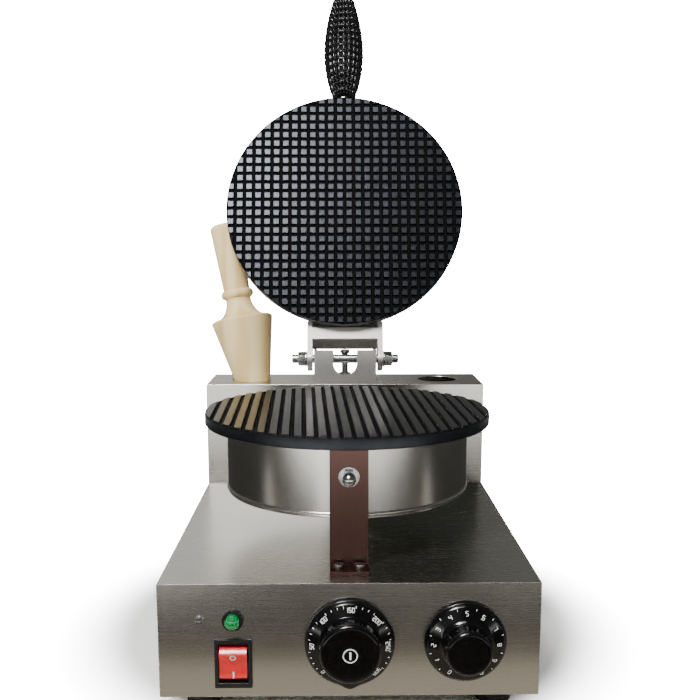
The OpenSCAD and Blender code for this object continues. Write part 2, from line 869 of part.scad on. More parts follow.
module upper_cover() {
  top = web_z - 0.3;
  wall_h = top - lid_back_z;
  color("silver") on_lid() translate([0, lid_plate_y, lid_back_z]) difference() {
    cylinder(d = cover_d, h = wall_h);
    translate([0, 0, -1]) cylinder(d = cover_d - 2 * cover_wall, h = wall_h + 1 - cover_wall);
    at_posts() cylinder(d = 5 + 2 * fit, h = 40);
    translate([0, -plate_d / 2, handle_z - lid_back_z]) rod_y(rod_d + 0.6, 32);
    translate([lead_x, lead_y, 0]) cylinder(d = lead_gland_d + 2 * fit, h = 40);
  }
}

arm_reach = lid_plate_y + 8;
bar_near = -17;
bar_far = lid_plate_y + plate_d / 2 + 0.6;
leg_low = -7;

module hinge_arm() {
  heel = 8.5;
  color("lightgray") on_lid() {
    difference() {
      union() {
        for (s = [-1, 1])
          translate([s * (arm_in + arm_t / 2), 0, 0]) {
            // Eye round the pin
            rod_x(2 * heel, arm_t);
            translate([-arm_t / 2, -33, leg_low]) cube([arm_t, 33, web_z + web_t - leg_low]);
            translate([-arm_t / 2, -33, 0]) cube([arm_t, 33 + heel, web_z + web_t]);
            translate([-arm_t / 2, arm_reach, web_z]) cube([arm_t, -arm_reach, 9]);
          }
        // Back web that runs over the cover
        translate([-arm_out, arm_reach, web_z]) cube([2 * arm_out, web_start - arm_reach, web_t]);
        // Cross bar on the baking side
        translate([-arm_out, bar_far, leg_low]) cube([2 * arm_out, bar_near - bar_far, 3]);
      }
      rod_x(pin_d + 2 * pin_clearance, 3 * arm_out);
      translate([0, lid_plate_y, 0]) at_posts() cylinder(d = 5 + 2 * fit, h = 40);
    }
  }
}

module arm_screws() {
  color("gainsboro") on_lid() translate([0, lid_plate_y, web_z + web_t]) at_posts()
    screw(5, 14, 9, 3.4);
}

module lead_gland() {
  color("#1a1a1a") on_lid() translate([lead_x, lid_plate_y + lead_y, web_z - 0.3]) difference() {
    union() {
      translate([0, 0, -5]) cylinder(d = lead_gland_d, h = 6);
      cylinder(d = 16 / cos(30), h = 4, $fn = 6);
      translate([0, 0, 3]) cylinder(d = 13, h = 6);
    }
    translate([0, 0, -10]) cylinder(d = 7, h = 30);
  }
}

grip_start = 11;

module handle_rod() {
  screwed_in = 40;
  color("gainsboro") on_lid() translate([0, rim_far + screwed_in, handle_z]) mirror([0, 1, 0])
    rod_y(rod_d, screwed_in + grip_start + grip_l - 12);
}

module handle_ferrule() {
  start = rim_far + 12;
  color("silver") on_lid() translate([0, start, handle_z]) mirror([0, 1, 0]) difference() {
    rod_y(15, start - rim_far + grip_start - 2.4);
    translate([0, -1, 0]) rod_y(rod_d + 2 * fit, 40);
  }
}

// Radius of the grip at a fraction of its length: a spindle with rounded ends
function grip_r(t) = 9.6 + (grip_d / 2 - 9.6) * pow(sin(180 * pow(t, 0.9)), 0.9);

module handle_grip() {
  steps = 14;
  outline = [for (i = [0 : steps]) [grip_r(i / steps), grip_l * i / steps]];
  color("#101012") on_lid() translate([0, rim_far - grip_start + 2.2, handle_z]) rotate([90, 0, 0])
    difference() {
      rotate_extrude() polygon(concat([[0, 0]], outline, [[0, grip_l]]));
      translate([0, 0, -1]) cylinder(d = rod_d + 2 * fit, h = grip_l - 8);
    }
}

// ---- cone former ----

cone_r = stand_hole_d / 2 - 1.15;
shoulder_at = 56;
tip_at = -cone_r / tan(cone_angle);

module cone_former() {
  shoulder_r = cone_r + shoulder_at * tan(cone_angle);
  neck_r = 11.5;
  bead_at = 80;
  top_at = 147;
  // Hollow curve from the shoulder up to the neck
  flare = [for (a = [90 : -15 : 15])
    [neck_r + (shoulder_r - 2 - neck_r) * (1 - cos(a)), shoulder_at + 2 + 17 * (1 - sin(a))]];
  color("#e9dcb6") in_stand_hole() rotate_extrude()
    polygon(concat(
      [[0, tip_at + 12], [12 * tan(cone_angle), tip_at + 12], [shoulder_r, shoulder_at]],
      flare,
      [[neck_r, bead_at - 5], [14.5, bead_at - 3.5], [15, bead_at], [14.5, bead_at + 3],
       [12.6, bead_at + 4.5], [14.4, top_at - 4], [13.2, top_at - 1], [10.5, top_at], [0, top_at]]));
}

// ---- assembly ----

case_shell();
case_floor();
floor_screws();
feet();
foot_bolts();
column_shell();
column_back();
column_screws();
hinge_bracket();
bracket_screws();
hinge_pin();
pin_nuts();
pin_washers();
stop_screw();
stop_nut();
drum_shell();
drum_pan();
lower_plate();
lower_heater();
lower_insulation();
lower_clamp();
clamp_nuts();
front_bracket();
rear_bracket();
drum_nuts();
drum_washers();
bracket_bolts();
lead_tube();
lower_leads();
thermostat_body();
thermostat_bulb();
timer_body();
switch_housing();
lamp_holder();
lamp_lens();
terminal_block();
earth_stud();
cable_gland();
gland_nut();
case_leads();
panel_screw();
upper_plate();
upper_heater();
upper_insulation();
upper_cover();
hinge_arm();
arm_screws();
lead_gland();
handle_rod();
handle_ferrule();
handle_grip();
rocker();
thermostat_knob();
thermostat_cap();
thermostat_shaft();
timer_knob();
timer_shaft();
cone_former();
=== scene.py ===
"""Waffle cone maker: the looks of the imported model.

The hinged plates, the studded grip, the knobs and the wooden former are surfaces worked
out with numpy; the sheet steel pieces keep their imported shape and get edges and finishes.
All lengths are in metres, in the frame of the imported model.
"""

import json
import logging
import math
from dataclasses import dataclass, field
from enum import Enum
from typing import Optional, Sequence

import bpy
import numpy as np
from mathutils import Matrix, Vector

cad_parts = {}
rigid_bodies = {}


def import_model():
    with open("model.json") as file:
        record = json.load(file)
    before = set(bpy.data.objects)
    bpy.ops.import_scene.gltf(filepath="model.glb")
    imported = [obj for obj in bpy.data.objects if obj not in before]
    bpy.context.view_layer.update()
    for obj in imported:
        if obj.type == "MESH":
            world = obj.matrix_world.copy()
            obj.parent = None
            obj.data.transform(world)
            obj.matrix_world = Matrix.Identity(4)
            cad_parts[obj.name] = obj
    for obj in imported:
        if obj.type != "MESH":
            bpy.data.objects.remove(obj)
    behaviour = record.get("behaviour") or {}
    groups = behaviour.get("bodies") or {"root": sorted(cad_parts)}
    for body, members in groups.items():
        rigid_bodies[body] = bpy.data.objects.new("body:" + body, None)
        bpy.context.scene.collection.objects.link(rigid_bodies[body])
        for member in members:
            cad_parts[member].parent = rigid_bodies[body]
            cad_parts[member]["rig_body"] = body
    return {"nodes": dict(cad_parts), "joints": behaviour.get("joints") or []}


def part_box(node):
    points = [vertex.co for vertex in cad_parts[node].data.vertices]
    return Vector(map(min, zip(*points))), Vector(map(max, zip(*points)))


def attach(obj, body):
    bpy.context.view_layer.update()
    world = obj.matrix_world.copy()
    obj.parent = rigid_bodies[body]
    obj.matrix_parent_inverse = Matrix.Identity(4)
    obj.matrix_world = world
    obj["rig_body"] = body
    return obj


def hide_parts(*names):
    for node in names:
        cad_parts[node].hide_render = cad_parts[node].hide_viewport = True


LOG = logging.getLogger("waffle_cone_maker")
MM = 0.001


# ---------------------------------------------------------------- colours and shader help


def linear(hex_colour: str) -> tuple[float, float, float, float]:
    """Turn an sRGB hex colour into linear RGBA.

    Args:
        hex_colour: Six hex digits, with or without a leading hash.

    Returns:
        Four linear numbers, alpha being 1.
    """
    digits = hex_colour.lstrip("#")
    srgb = np.array([int(digits[i : i + 2], 16) for i in (0, 2, 4)]) / 255.0
    value = np.where(srgb <= 0.04045, srgb / 12.92, ((srgb + 0.055) / 1.055) ** 2.4)
    return (float(value[0]), float(value[1]), float(value[2]), 1.0)


def add_node(
    tree: bpy.types.NodeTree, kind: str, settings: Optional[dict] = None, **links: object
) -> bpy.types.Node:
    """Add one node, with its settings and its links.

    Args:
        tree: The node tree it goes in.
        kind: The node's type name.
        settings: Attributes by name, and input values by the input's name or number; "stops"
            gives a colour ramp's pairs of position and linear colour.
        links: Inputs by name, spaces written as underscores, each fed by a socket.

    Returns:
        The new node.
    """
    node = tree.nodes.new(kind)
    for key, value in (settings or {}).items():
        if key == "stops":
            elements = node.color_ramp.elements
            while len(elements) < len(value):
                elements.new(0.5)
            for element, (position, colour) in zip(elements, value):
                element.position = position
                element.color = colour
        elif isinstance(key, int) or key in node.inputs:
            node.inputs[key].default_value = value
        else:
            setattr(node, key, value)
    for key, socket in links.items():
        name = key.replace("_", " ")
        numbered = name.startswith("in") and name[2:].isdigit()
        target = node.inputs[int(name[2:]) if numbered else name]
        tree.links.new(socket, target)
    return node


class Brush(Enum):
    """Direction in which a metal's brush marks run."""

    ALONG_X = (6.0, 2400.0, 2400.0)
    ALONG_Z = (2400.0, 2400.0, 6.0)


@dataclass(frozen=True)
class Finish:
    """A finish that starts from a principled shader; each kind adds its own pattern."""

    name: str
    colour: str
    roughness: float
    metallic: float = 0.0
    ior: float = 1.5
    coat: float = 0.0
    coat_roughness: float = 0.05

    def start(self) -> tuple[bpy.types.Material, bpy.types.NodeTree, bpy.types.Node, object]:
        """Make the bare material.

        Returns:
            The material, its tree, its principled node and the object coordinates.
        """
        material = bpy.data.materials.new(self.name)
        material.use_nodes = True
        tree = material.node_tree
        shader = tree.nodes["Principled BSDF"]
        shader.inputs["Base Color"].default_value = linear(self.colour)
        shader.inputs["Roughness"].default_value = self.roughness
        shader.inputs["Metallic"].default_value = self.metallic
        if self.metallic < 0.5:
            shader.inputs["IOR"].default_value = self.ior
        shader.inputs["Coat Weight"].default_value = self.coat
        shader.inputs["Coat Roughness"].default_value = self.coat_roughness
        place = add_node(tree, "ShaderNodeTexCoord").outputs["Object"]
        return material, tree, shader, place

    def build(self) -> bpy.types.Material:
        """Make the finish with its pattern.

        Returns:
            The material.
        """
        raise NotImplementedError


@dataclass(frozen=True)
class BrushedStainless(Finish):
    """Cold-rolled 304 stainless sheet with a linear brushed face.

    The brush leaves fine streaks that stretch reflections; wiping leaves faint cloudy
    patches. Real streaks are about 0.1 mm apart; they are drawn near 0.4 mm so that they show.
    """

    brush: Brush = Brush.ALONG_X
    streak: float = 0.08
    cloud: float = 0.05

    def build(self) -> bpy.types.Material:
        """Make streaks by stretching noise along the brush, and clouds by wide noise."""
        material, tree, shader, place = self.start()
        stretched = add_node(
            tree, "ShaderNodeMapping", {"Scale": self.brush.value}, Vector=place
        ).outputs["Vector"]
        streaks = add_node(
            tree, "ShaderNodeTexNoise", {"Scale": 1.0, "Detail": 4.0, "Roughness": 0.6}, Vector=stretched
        ).outputs["Fac"]
        clouds = add_node(
            tree, "ShaderNodeTexNoise", {"Scale": 14.0, "Detail": 3.0, "Roughness": 0.55}, Vector=place
        ).outputs["Fac"]
        bright = linear(self.colour)
        dull = tuple(0.93 * c for c in bright[:3]) + (1.0,)
        tint = add_node(tree, "ShaderNodeValToRGB", {"stops": [(0.3, dull), (0.7, bright)]}, Fac=streaks)
        tree.links.new(tint.outputs["Color"], shader.inputs["Base Color"])
        low = add_node(
            tree,
            "ShaderNodeMapRange",
            {"To Min": self.roughness - self.streak / 2, "To Max": self.roughness + self.streak / 2},
            Value=streaks,
        ).outputs["Result"]
        wide = add_node(
            tree, "ShaderNodeMapRange", {"To Min": -self.cloud, "To Max": self.cloud}, Value=clouds
        ).outputs["Result"]
        total = add_node(tree, "ShaderNodeMath", {"operation": "ADD"}, in0=low, in1=wide).outputs[0]
        tree.links.new(total, shader.inputs["Roughness"])
        bump = add_node(tree, "ShaderNodeBump", {"Strength": 0.06, "Distance": 0.00005}, Height=streaks)
        tree.links.new(bump.outputs["Normal"], shader.inputs["Normal"])
        return material


@dataclass(frozen=True)
class Speckled(Finish):
    """A moulded, cast or coated face: fine grain in bump, faint change in colour and gloss."""

    grain_mm: float = 0.8
    depth_mm: float = 0.03
    change: float = 0.15
    gloss_change: float = 0.08

    def build(self) -> bpy.types.Material:
        """Make grain at its real size and slow patches ten times wider."""
        material, tree, shader, place = self.start()
        scale = 1.0 / (self.grain_mm * MM)
        grain = add_node(
            tree, "ShaderNodeTexNoise", {"Scale": scale, "Detail": 3.0, "Roughness": 0.5}, Vector=place
        ).outputs["Fac"]
        patches = add_node(
            tree, "ShaderNodeTexNoise", {"Scale": scale / 20.0, "Detail": 4.0, "Roughness": 0.6}, Vector=place
        ).outputs["Fac"]
        base = linear(self.colour)
        dark = tuple(c * (1 - self.change) for c in base[:3]) + (1.0,)
        light = tuple(min(1.0, c * (1 + self.change)) for c in base[:3]) + (1.0,)
        tint = add_node(tree, "ShaderNodeValToRGB", {"stops": [(0.35, dark), (0.65, light)]}, Fac=patches)
        tree.links.new(tint.outputs["Color"], shader.inputs["Base Color"])
        gloss = add_node(
            tree,
            "ShaderNodeMapRange",
            {"To Min": self.roughness - self.gloss_change, "To Max": self.roughness + self.gloss_change},
            Value=patches,
        ).outputs["Result"]
        tree.links.new(gloss, shader.inputs["Roughness"])
        bump = add_node(
            tree, "ShaderNodeBump", {"Strength": 0.4, "Distance": self.depth_mm * MM}, Height=grain
        )
        tree.links.new(bump.outputs["Normal"], shader.inputs["Normal"])
        return material


@dataclass(frozen=True)
class CoatedPlate(Speckled):
    """A coated baking face whose grooves are darkened by painted shade and given a duller gloss.

    The point attribute "land" is 0 on a groove's floor and 1 on the raised part.
    """

    # painted shade: near-black colour laid on the groove floors, where shade falls
    groove: str = "#08080a"
    groove_roughness: float = 0.75

    def build(self) -> bpy.types.Material:
        """Mix the coating's colour with the painted groove shade, and its gloss with the groove's, by the
        attribute.
        """
        material = super().build()
        tree = material.node_tree
        shader = tree.nodes["Principled BSDF"]
        land = add_node(tree, "ShaderNodeAttribute", {"attribute_name": "land"}).outputs["Fac"]
        for name, low in (("Base Color", linear(self.groove)), ("Roughness", self.groove_roughness)):
            source = shader.inputs[name].links[0].from_socket
            kind = "RGBA" if name == "Base Color" else "FLOAT"
            mix = add_node(tree, "ShaderNodeMix", {"data_type": kind}, in0=land)
            first, second = (6, 7) if kind == "RGBA" else (2, 3)
            mix.inputs[first].default_value = low
            tree.links.new(source, mix.inputs[second])
            tree.links.new(mix.outputs[2 if kind == "RGBA" else 0], shader.inputs[name])
        return material


@dataclass(frozen=True)
class TurnedMaple(Finish):
    """Pale maple turned on a lathe and sanded: soft growth bands and short dark flecks."""

    band_mm: float = 3.0

    def build(self) -> bpy.types.Material:
        """Make bands across X bent by noise, and flecks stretched along the grain, Z."""
        material, tree, shader, place = self.start()
        along = add_node(tree, "ShaderNodeMapping", {"Scale": (1.0, 1.0, 0.12)}, Vector=place).outputs["Vector"]
        bands = add_node(
            tree,
            "ShaderNodeTexWave",
            {"Scale": 1.0 / (self.band_mm * MM) / 20.0, "Distortion": 5.0, "Detail": 3.0, "Detail Scale": 2.0},
            Vector=along,
        ).outputs["Fac"]
        base = linear(self.colour)
        warm = linear("#dfc083")
        tint = add_node(tree, "ShaderNodeValToRGB", {"stops": [(0.0, warm), (0.75, base)]}, Fac=bands)
        tree.links.new(tint.outputs["Color"], shader.inputs["Base Color"])
        fine = add_node(tree, "ShaderNodeMapping", {"Scale": (1.0, 1.0, 0.05)}, Vector=place).outputs["Vector"]
        flecks = add_node(
            tree, "ShaderNodeTexNoise", {"Scale": 1500.0, "Detail": 2.0}, Vector=fine
        ).outputs["Fac"]
        bump = add_node(tree, "ShaderNodeBump", {"Strength": 0.25, "Distance": 0.00005}, Height=flecks)
        tree.links.new(bump.outputs["Normal"], shader.inputs["Normal"])
        return material


@dataclass(frozen=True)
class WovenSleeve(Finish):
    """Heat-proof glass-fibre sleeving: a fine diagonal weave about 0.5 mm apart."""

    def build(self) -> bpy.types.Material:
        """Make one set of diagonal ribs in colour and bump."""
        material, tree, shader, place = self.start()
        turned = add_node(
            tree, "ShaderNodeMapping", {"Rotation": (0.6, 0.6, 0.8)}, Vector=place
        ).outputs["Vector"]
        weave = add_node(tree, "ShaderNodeTexWave", {"Scale": 300.0, "Distortion": 1.0}, Vector=turned)
        base = linear(self.colour)
        dark = tuple(0.6 * c for c in base[:3]) + (1.0,)
        stops = {"stops": [(0.2, dark), (0.8, base)]}
        tint = add_node(tree, "ShaderNodeValToRGB", stops, Fac=weave.outputs["Fac"])
        tree.links.new(tint.outputs["Color"], shader.inputs["Base Color"])
        bump = add_node(
            tree, "ShaderNodeBump", {"Strength": 0.5, "Distance": 0.0001}, Height=weave.outputs["Fac"]
        )
        tree.links.new(bump.outputs["Normal"], shader.inputs["Normal"])
        return material


# Brushed 304 sheet: greyish, slightly warm, with soft stretched reflections.
SHEET_X = BrushedStainless("brushed_stainless_across", "#cfccc6", 0.27, 1.0)
SHEET_Z = BrushedStainless("brushed_stainless_upright", "#cfccc6", 0.27, 1.0, brush=Brush.ALONG_Z)
# Satin fittings of the hinge: a duller, lighter grain than the panels.
SATIN_SHEET = BrushedStainless("satin_stainless_fittings", "#e2dfda", 0.48, 1.0)
# The front bracket is stained brown by the heat that rises past it.
HEAT_TINTED = BrushedStainless("heat_tinted_stainless", "#6a504a", 0.3, 1.0, brush=Brush.ALONG_Z, streak=0.04)
# The spun drum is brushed round its axis; near the front that runs across.
SPUN = BrushedStainless("spun_stainless", "#c4c1bb", 0.24, 1.0, streak=0.08)
# Zinc-plated steel screws and nuts: bright, slightly mottled plating.
PLATED = Speckled("zinc_plated_steel", "#c8c9c8", 0.25, 1.0, grain_mm=0.5, depth_mm=0.01)
# Non-stick coated cast aluminium: near black, satin, faint casting grain; its grooves carry painted shade.
COATED_CASTING = CoatedPlate(
    "coated_cast_aluminium", "#2b2d31", 0.3, 0.85, grain_mm=0.6, depth_mm=0.012, gloss_change=0.05
)
# Polished phenolic moulding: deep black with a clear glossy skin.
PHENOLIC = Speckled(
    "polished_phenolic", "#070708", 0.14, grain_mm=2.5, depth_mm=0.008, gloss_change=0.03
)
# Moulded nylon or ABS: black, fine spark-eroded texture.
BLACK_ABS = Speckled("moulded_black_abs", "#151515", 0.38, grain_mm=0.4, depth_mm=0.02)
# Red polycarbonate rocker: even red with a smooth satin skin.
RED_RESIN = Speckled(
    "moulded_red_polycarbonate", "#c61218", 0.22, coat=0.3, grain_mm=1.5, depth_mm=0.008, change=0.06
)
# Green tinted polycarbonate lens, unlit: dark, very glossy.
GREEN_LENS = Speckled(
    "tinted_green_polycarbonate",
    "#0c7a40",
    0.12,
    ior=1.58,
    coat=0.6,
    grain_mm=1.2,
    depth_mm=0.01,
    gloss_change=0.03,
)
# Printed marks: slightly uneven white ink.
WHITE_INK = Speckled("white_dial_ink", "#e6e6e2", 0.5, grain_mm=0.3, depth_mm=0.01, change=0.05)
# Heat-stained tubular element sheath: dark, oxidised.
OXIDISED_SHEATH = Speckled(
    "oxidised_heater_sheath", "#4a4037", 0.5, 1.0, grain_mm=1.0, depth_mm=0.05, change=0.4
)
# Ceramic fibre board: off-white, soft and dusty.
FIBRE_BOARD = Speckled("ceramic_fibre_board", "#d9d3c2", 0.95, grain_mm=0.7, depth_mm=0.15)
# Rubber feet: matt, dusty black.
RUBBER = Speckled("moulded_rubber", "#1b1b1b", 0.72, grain_mm=0.6, depth_mm=0.05)
# Ivory thermoset bodies of the thermostat, timer and terminal block.
THERMOSET = Speckled("ivory_thermoset", "#cfc9ba", 0.5, grain_mm=0.6, depth_mm=0.03)
# Turned brass shafts and earth stud.
BRASS = Speckled("turned_brass", "#c79f55", 0.28, 1.0, grain_mm=0.5, depth_mm=0.01)
# Drawn copper capillary, slightly tarnished.
COPPER = Speckled("drawn_copper", "#b5724a", 0.35, 1.0, grain_mm=0.8, depth_mm=0.01, change=0.25)
MAPLE = TurnedMaple("turned_maple", "#efd79c", 0.42)
SLEEVE = WovenSleeve("woven_glass_sleeve", "#8e2a1f", 0.7)


@dataclass
class Paintbox:
    """Makes each finish once and hands it out."""

    made: dict[str, bpy.types.Material] = field(default_factory=dict)

    def get(self, finish: Finish) -> bpy.types.Material:
        """Return the material of a finish, made on first use."""
        if finish.name not in self.made:
            self.made[finish.name] = finish.build()
        return self.made[finish.name]

    def dress(self, finish: Finish, edge: float, *nodes: str, segments: int = 2, clamp: bool = True) -> None:
        """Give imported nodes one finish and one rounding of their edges.

        Args:
            finish: What they are made of.
            edge: Width of the rounded edges in metres, or 0 for none.
            nodes: The nodes' names.
            segments: Number of parts across each rounded edge.
            clamp: Whether the narrowest face limits the width.
        """
        for node in nodes:
            dress_node(node, self.get(finish), edge, segments, clamp)


# ---------------------------------------------------------------- surfaces


def grid_quads(rows: int, columns: int, wrap: bool) -> np.ndarray:
    """Faces of a grid whose vertices are numbered row by row.

    Args:
        rows: Number of vertex rows.
        columns: Number of vertex columns.
        wrap: Whether the last column joins the first.

    Returns:
        An array of four vertex numbers a face.
    """
    i, j = np.meshgrid(np.arange(rows - 1), np.arange(columns if wrap else columns - 1), indexing="ij")
    k = (j + 1) % columns
    corners = [i * columns + j, i * columns + k, (i + 1) * columns + k, (i + 1) * columns + j]
    return np.stack(corners, -1).reshape(-1, 4)


def lathe(profile: np.ndarray, segments: int) -> tuple[np.ndarray, list]:
    """Surface of revolution about Z; the profile's ends on the axis become single poles.

    Each profile point (r, z) gives a ring (r cos a, r sin a, z). The profile runs from the
    bottom pole to the top pole so that faces point outwards.

    Args:
        profile: Points (r, z); the first and the last have r = 0.
        segments: Number of points round each ring.

    Returns:
        The vertices and the faces.
    """
    angle = np.linspace(0, 2 * np.pi, segments, endpoint=False)
    rings = profile[1:-1]
    r, z = rings[:, :1], rings[:, 1:]
    body = np.stack([r * np.cos(angle), r * np.sin(angle), np.broadcast_to(z, (len(rings), segments))], -1)
    poles = np.array([[0, 0, profile[0, 1]], [0, 0, profile[-1, 1]]])
    vertices = np.vstack([body.reshape(-1, 3), poles])
    low, high = len(rings) * segments, len(rings) * segments + 1
    j = np.arange(segments)
    k = (j + 1) % segments
    top = (len(rings) - 1) * segments
    faces = grid_quads(len(rings), segments, True).tolist()
    faces += np.stack([np.full(segments, low), k, j], -1).tolist()
    faces += np.stack([np.full(segments, high), top + j, top + k], -1).tolist()
    return vertices, faces


def round_corners(points: Sequence[tuple[float, float]], radius: float, steps: int = 4) -> np.ndarray:
    """Replace each inner corner of an open outline by a short curve.

    Each corner P between neighbours A and C becomes the quadratic curve from the point at
    the given distance towards A, through the control point P, to the one towards C.

    Args:
        points: The outline's corners.
        radius: Distance from the corner at which the curve starts, clipped to 45% of a side.
        steps: Number of parts in each curve.

    Returns:
        The rounded outline.
    """
    p = np.array(points, float)
    back, ahead = p[:-2] - p[1:-1], p[2:] - p[1:-1]
    reach_back = np.linalg.norm(back, axis=1, keepdims=True)
    reach_ahead = np.linalg.norm(ahead, axis=1, keepdims=True)
    a = p[1:-1] + back / reach_back * np.minimum(radius, 0.45 * reach_back)
    c = p[1:-1] + ahead / reach_ahead * np.minimum(radius, 0.45 * reach_ahead)
    t = np.linspace(0, 1, steps + 1)[None, :, None]
    curve = (1 - t) ** 2 * a[:, None] + 2 * t * (1 - t) * p[1:-1][:, None] + t**2 * c[:, None]
    return np.vstack([p[:1], curve.reshape(-1, 2), p[-1:]])


def turn(axis: str, angle: float) -> np.ndarray:
    """Rotation matrix about a frame axis, by the right-hand rule.

    Args:
        axis: x, y or z.
        angle: Angle in radians.

    Returns:
        A 3 by 3 matrix.
    """
    c, s = math.cos(angle), math.sin(angle)
    matrices = {
        "x": [[1, 0, 0], [0, c, -s], [0, s, c]],
        "y": [[c, 0, s], [0, 1, 0], [-s, 0, c]],
        "z": [[c, -s, 0], [s, c, 0], [0, 0, 1]],
    }
    return np.array(matrices[axis])


def stroke(line: Sequence[tuple[float, float]], width: float, closed: bool = False) -> tuple[np.ndarray, list]:
    """A thin raised strip along a line in a plane, as (u, v, side), side being 1 above and 0 below.

    Each point of the line is widened by half the width to both sides, square to the
    direction between its neighbours; the four corners of each section are joined in turn.

    Args:
        line: Points (u, v).
        width: Width of the strip.
        closed: Whether the last point joins the first.

    Returns:
        The vertices and the faces.
    """
    p = np.array(line, float)
    if closed:
        along = np.roll(p, -1, 0) - np.roll(p, 1, 0)
    else:
        along = np.gradient(p, axis=0)
    along /= np.linalg.norm(along, axis=1, keepdims=True)
    across = np.stack([-along[:, 1], along[:, 0]], -1) * width / 2
    count = len(p)
    rows = [(p + across, 1.0), (p - across, 1.0), (p - across, 0.0), (p + across, 0.0)]
    body = np.stack([np.column_stack([q, np.full(count, side)]) for q, side in rows], 1)
    faces = grid_quads(count, 4, True)[:, ::-1].tolist()
    if closed:
        k = np.arange(4)
        last = (count - 1) * 4
        faces += np.stack([last + k, k, (k + 1) % 4, last + (k + 1) % 4], -1)[:, ::-1].tolist()
    else:
        faces += [[3, 2, 1, 0], [4 * count - 4, 4 * count - 3, 4 * count - 2, 4 * count - 1]]
    return body.reshape(-1, 3), faces


def join(parts: Sequence[tuple[np.ndarray, list]]) -> tuple[np.ndarray, list]:
    """Put several meshes' arrays together.

    Args:
        parts: Pairs of vertices and faces.

    Returns:
        The vertices and the faces, renumbered.
    """
    starts = np.cumsum([0] + [len(v) for v, _ in parts])
    faces = [[int(i) + int(start) for i in face] for (_, group), start in zip(parts, starts) for face in group]
    return np.vstack([v for v, _ in parts]), faces


def make_piece(
    name: str,
    vertices: np.ndarray,
    faces: Sequence,
    material: bpy.types.Material,
    sharp_deg: float = 35.0,
) -> bpy.types.Object:
    """Make a mesh object at the origin from arrays.

    Args:
        name: The piece's name.
        vertices: Vertex places in metres.
        faces: Lists of vertex numbers, outward by the right-hand rule.
        material: Its finish.
        sharp_deg: Edges that turn more than this stay sharp.

    Returns:
        The object, linked to the scene.
    """
    mesh = bpy.data.meshes.new(name)
    mesh.from_pydata(vertices.tolist(), [], [list(map(int, f)) for f in faces])
    mesh.polygons.foreach_set("use_smooth", np.ones(len(mesh.polygons), bool))
    mesh.set_sharp_from_angle(angle=math.radians(sharp_deg))
    mesh.materials.append(material)
    mesh.validate()
    mesh.update()
    piece = bpy.data.objects.new(name, mesh)
    bpy.context.scene.collection.objects.link(piece)
    return piece


def place_piece(piece: bpy.types.Object, body: str, replaced: Sequence[str] = ()) -> None:
    """Put a new piece on its body and hide what it stands for.

    Args:
        piece: The new piece.
        body: The body that it rides on.
        replaced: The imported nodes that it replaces.
    """
    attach(piece, body)
    if replaced:
        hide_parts(*replaced)
    LOG.info("piece %s: %d faces on %s", piece.name, len(piece.data.polygons), body)


def dress_node(
    name: str, material: bpy.types.Material, edge: float = 0.0, segments: int = 2, clamp: bool = True
) -> None:
    """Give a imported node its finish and, where asked, softly rounded edges.

    Args:
        name: The node's name.
        material: Its finish.
        edge: Width of the rounded edges in metres, or 0 for none.
        segments: Number of parts across each rounded edge.
        clamp: Whether the narrowest face limits the width.
    """
    node = FRAME["nodes"][name]
    node.data.materials.clear()
    node.data.materials.append(material)
    weld = node.modifiers.new("weld", "WELD")
    weld.merge_threshold = 0.000002
    if edge:
        plain = node.modifiers.new("plain faces", "DECIMATE")
        plain.decimate_type = "DISSOLVE"
        plain.angle_limit = math.radians(0.5)
        bevel = node.modifiers.new("edges", "BEVEL")
        bevel.width = edge
        bevel.segments = segments
        bevel.limit_method = "ANGLE"
        bevel.angle_limit = math.radians(40)
        bevel.use_clamp_overlap = clamp
    crease = node.modifiers.new("creases", "EDGE_SPLIT")
    crease.split_angle = math.radians(38)
    even = node.modifiers.new("flat faces", "WEIGHTED_NORMAL")
    even.weight = 100
    node.data.polygons.foreach_set("use_smooth", np.ones(len(node.data.polygons), bool))
    LOG.info("node %s: %s", name, material.name)


FRAME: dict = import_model()


# ---------------------------------------------------------------- where things are


@dataclass(frozen=True)
class Layout:
    """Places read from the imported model."""

    case_top: float
    front: float
    plate_centre: tuple[float, float]
    plate_top: float
    plate_radius: float
    pin: tuple[float, float]
    open_angle: float

    @staticmethod
    def read() -> "Layout":
        """Work out the places from the nodes' boxes and the lid's joint.

        Returns:
            The layout.
        """
        case_low, case_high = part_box("case_shell")
        plate_low, plate_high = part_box("lower_plate")
        hinge = next(j for j in FRAME["joints"] if j["name"] == "lid_hinge")
        radius = (plate_high.x - plate_low.x) / 2
        return Layout(
            case_top=case_high.z,
            front=case_low.y,
            plate_centre=((plate_high.x + plate_low.x) / 2, (plate_high.y + plate_low.y) / 2),
            plate_top=plate_high.z,
            plate_radius=radius,
            pin=(hinge["pos_m"][1], hinge["pos_m"][2]),
            open_angle=math.radians(hinge["range_deg"][1]),
        )

    def open_lid(self, vertices: np.ndarray) -> np.ndarray:
        """Turn points of the shut lid, given from the pin, into the open pose.

        Args:
            vertices: Points measured from the hinge pin with the lid shut.

        Returns:
            The same points in the frame, with the lid open.
        """
        return vertices @ turn("x", -self.open_angle).T + np.array([0, *self.pin])

    def rod_height(self) -> float:
        """Height of the handle's axis above the pin with the lid shut, from the rod's box."""
        low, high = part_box("handle_rod")
        middle = (np.array(low) + np.array(high)) / 2 - np.array([0, *self.pin])
        return float((turn("x", self.open_angle) @ middle)[2])


# ---------------------------------------------------------------- baking plates


class Pattern(Enum):
    """Which way a plate's ribs run."""

    SQUARES = "squares"
    STRAIGHT = "straight"


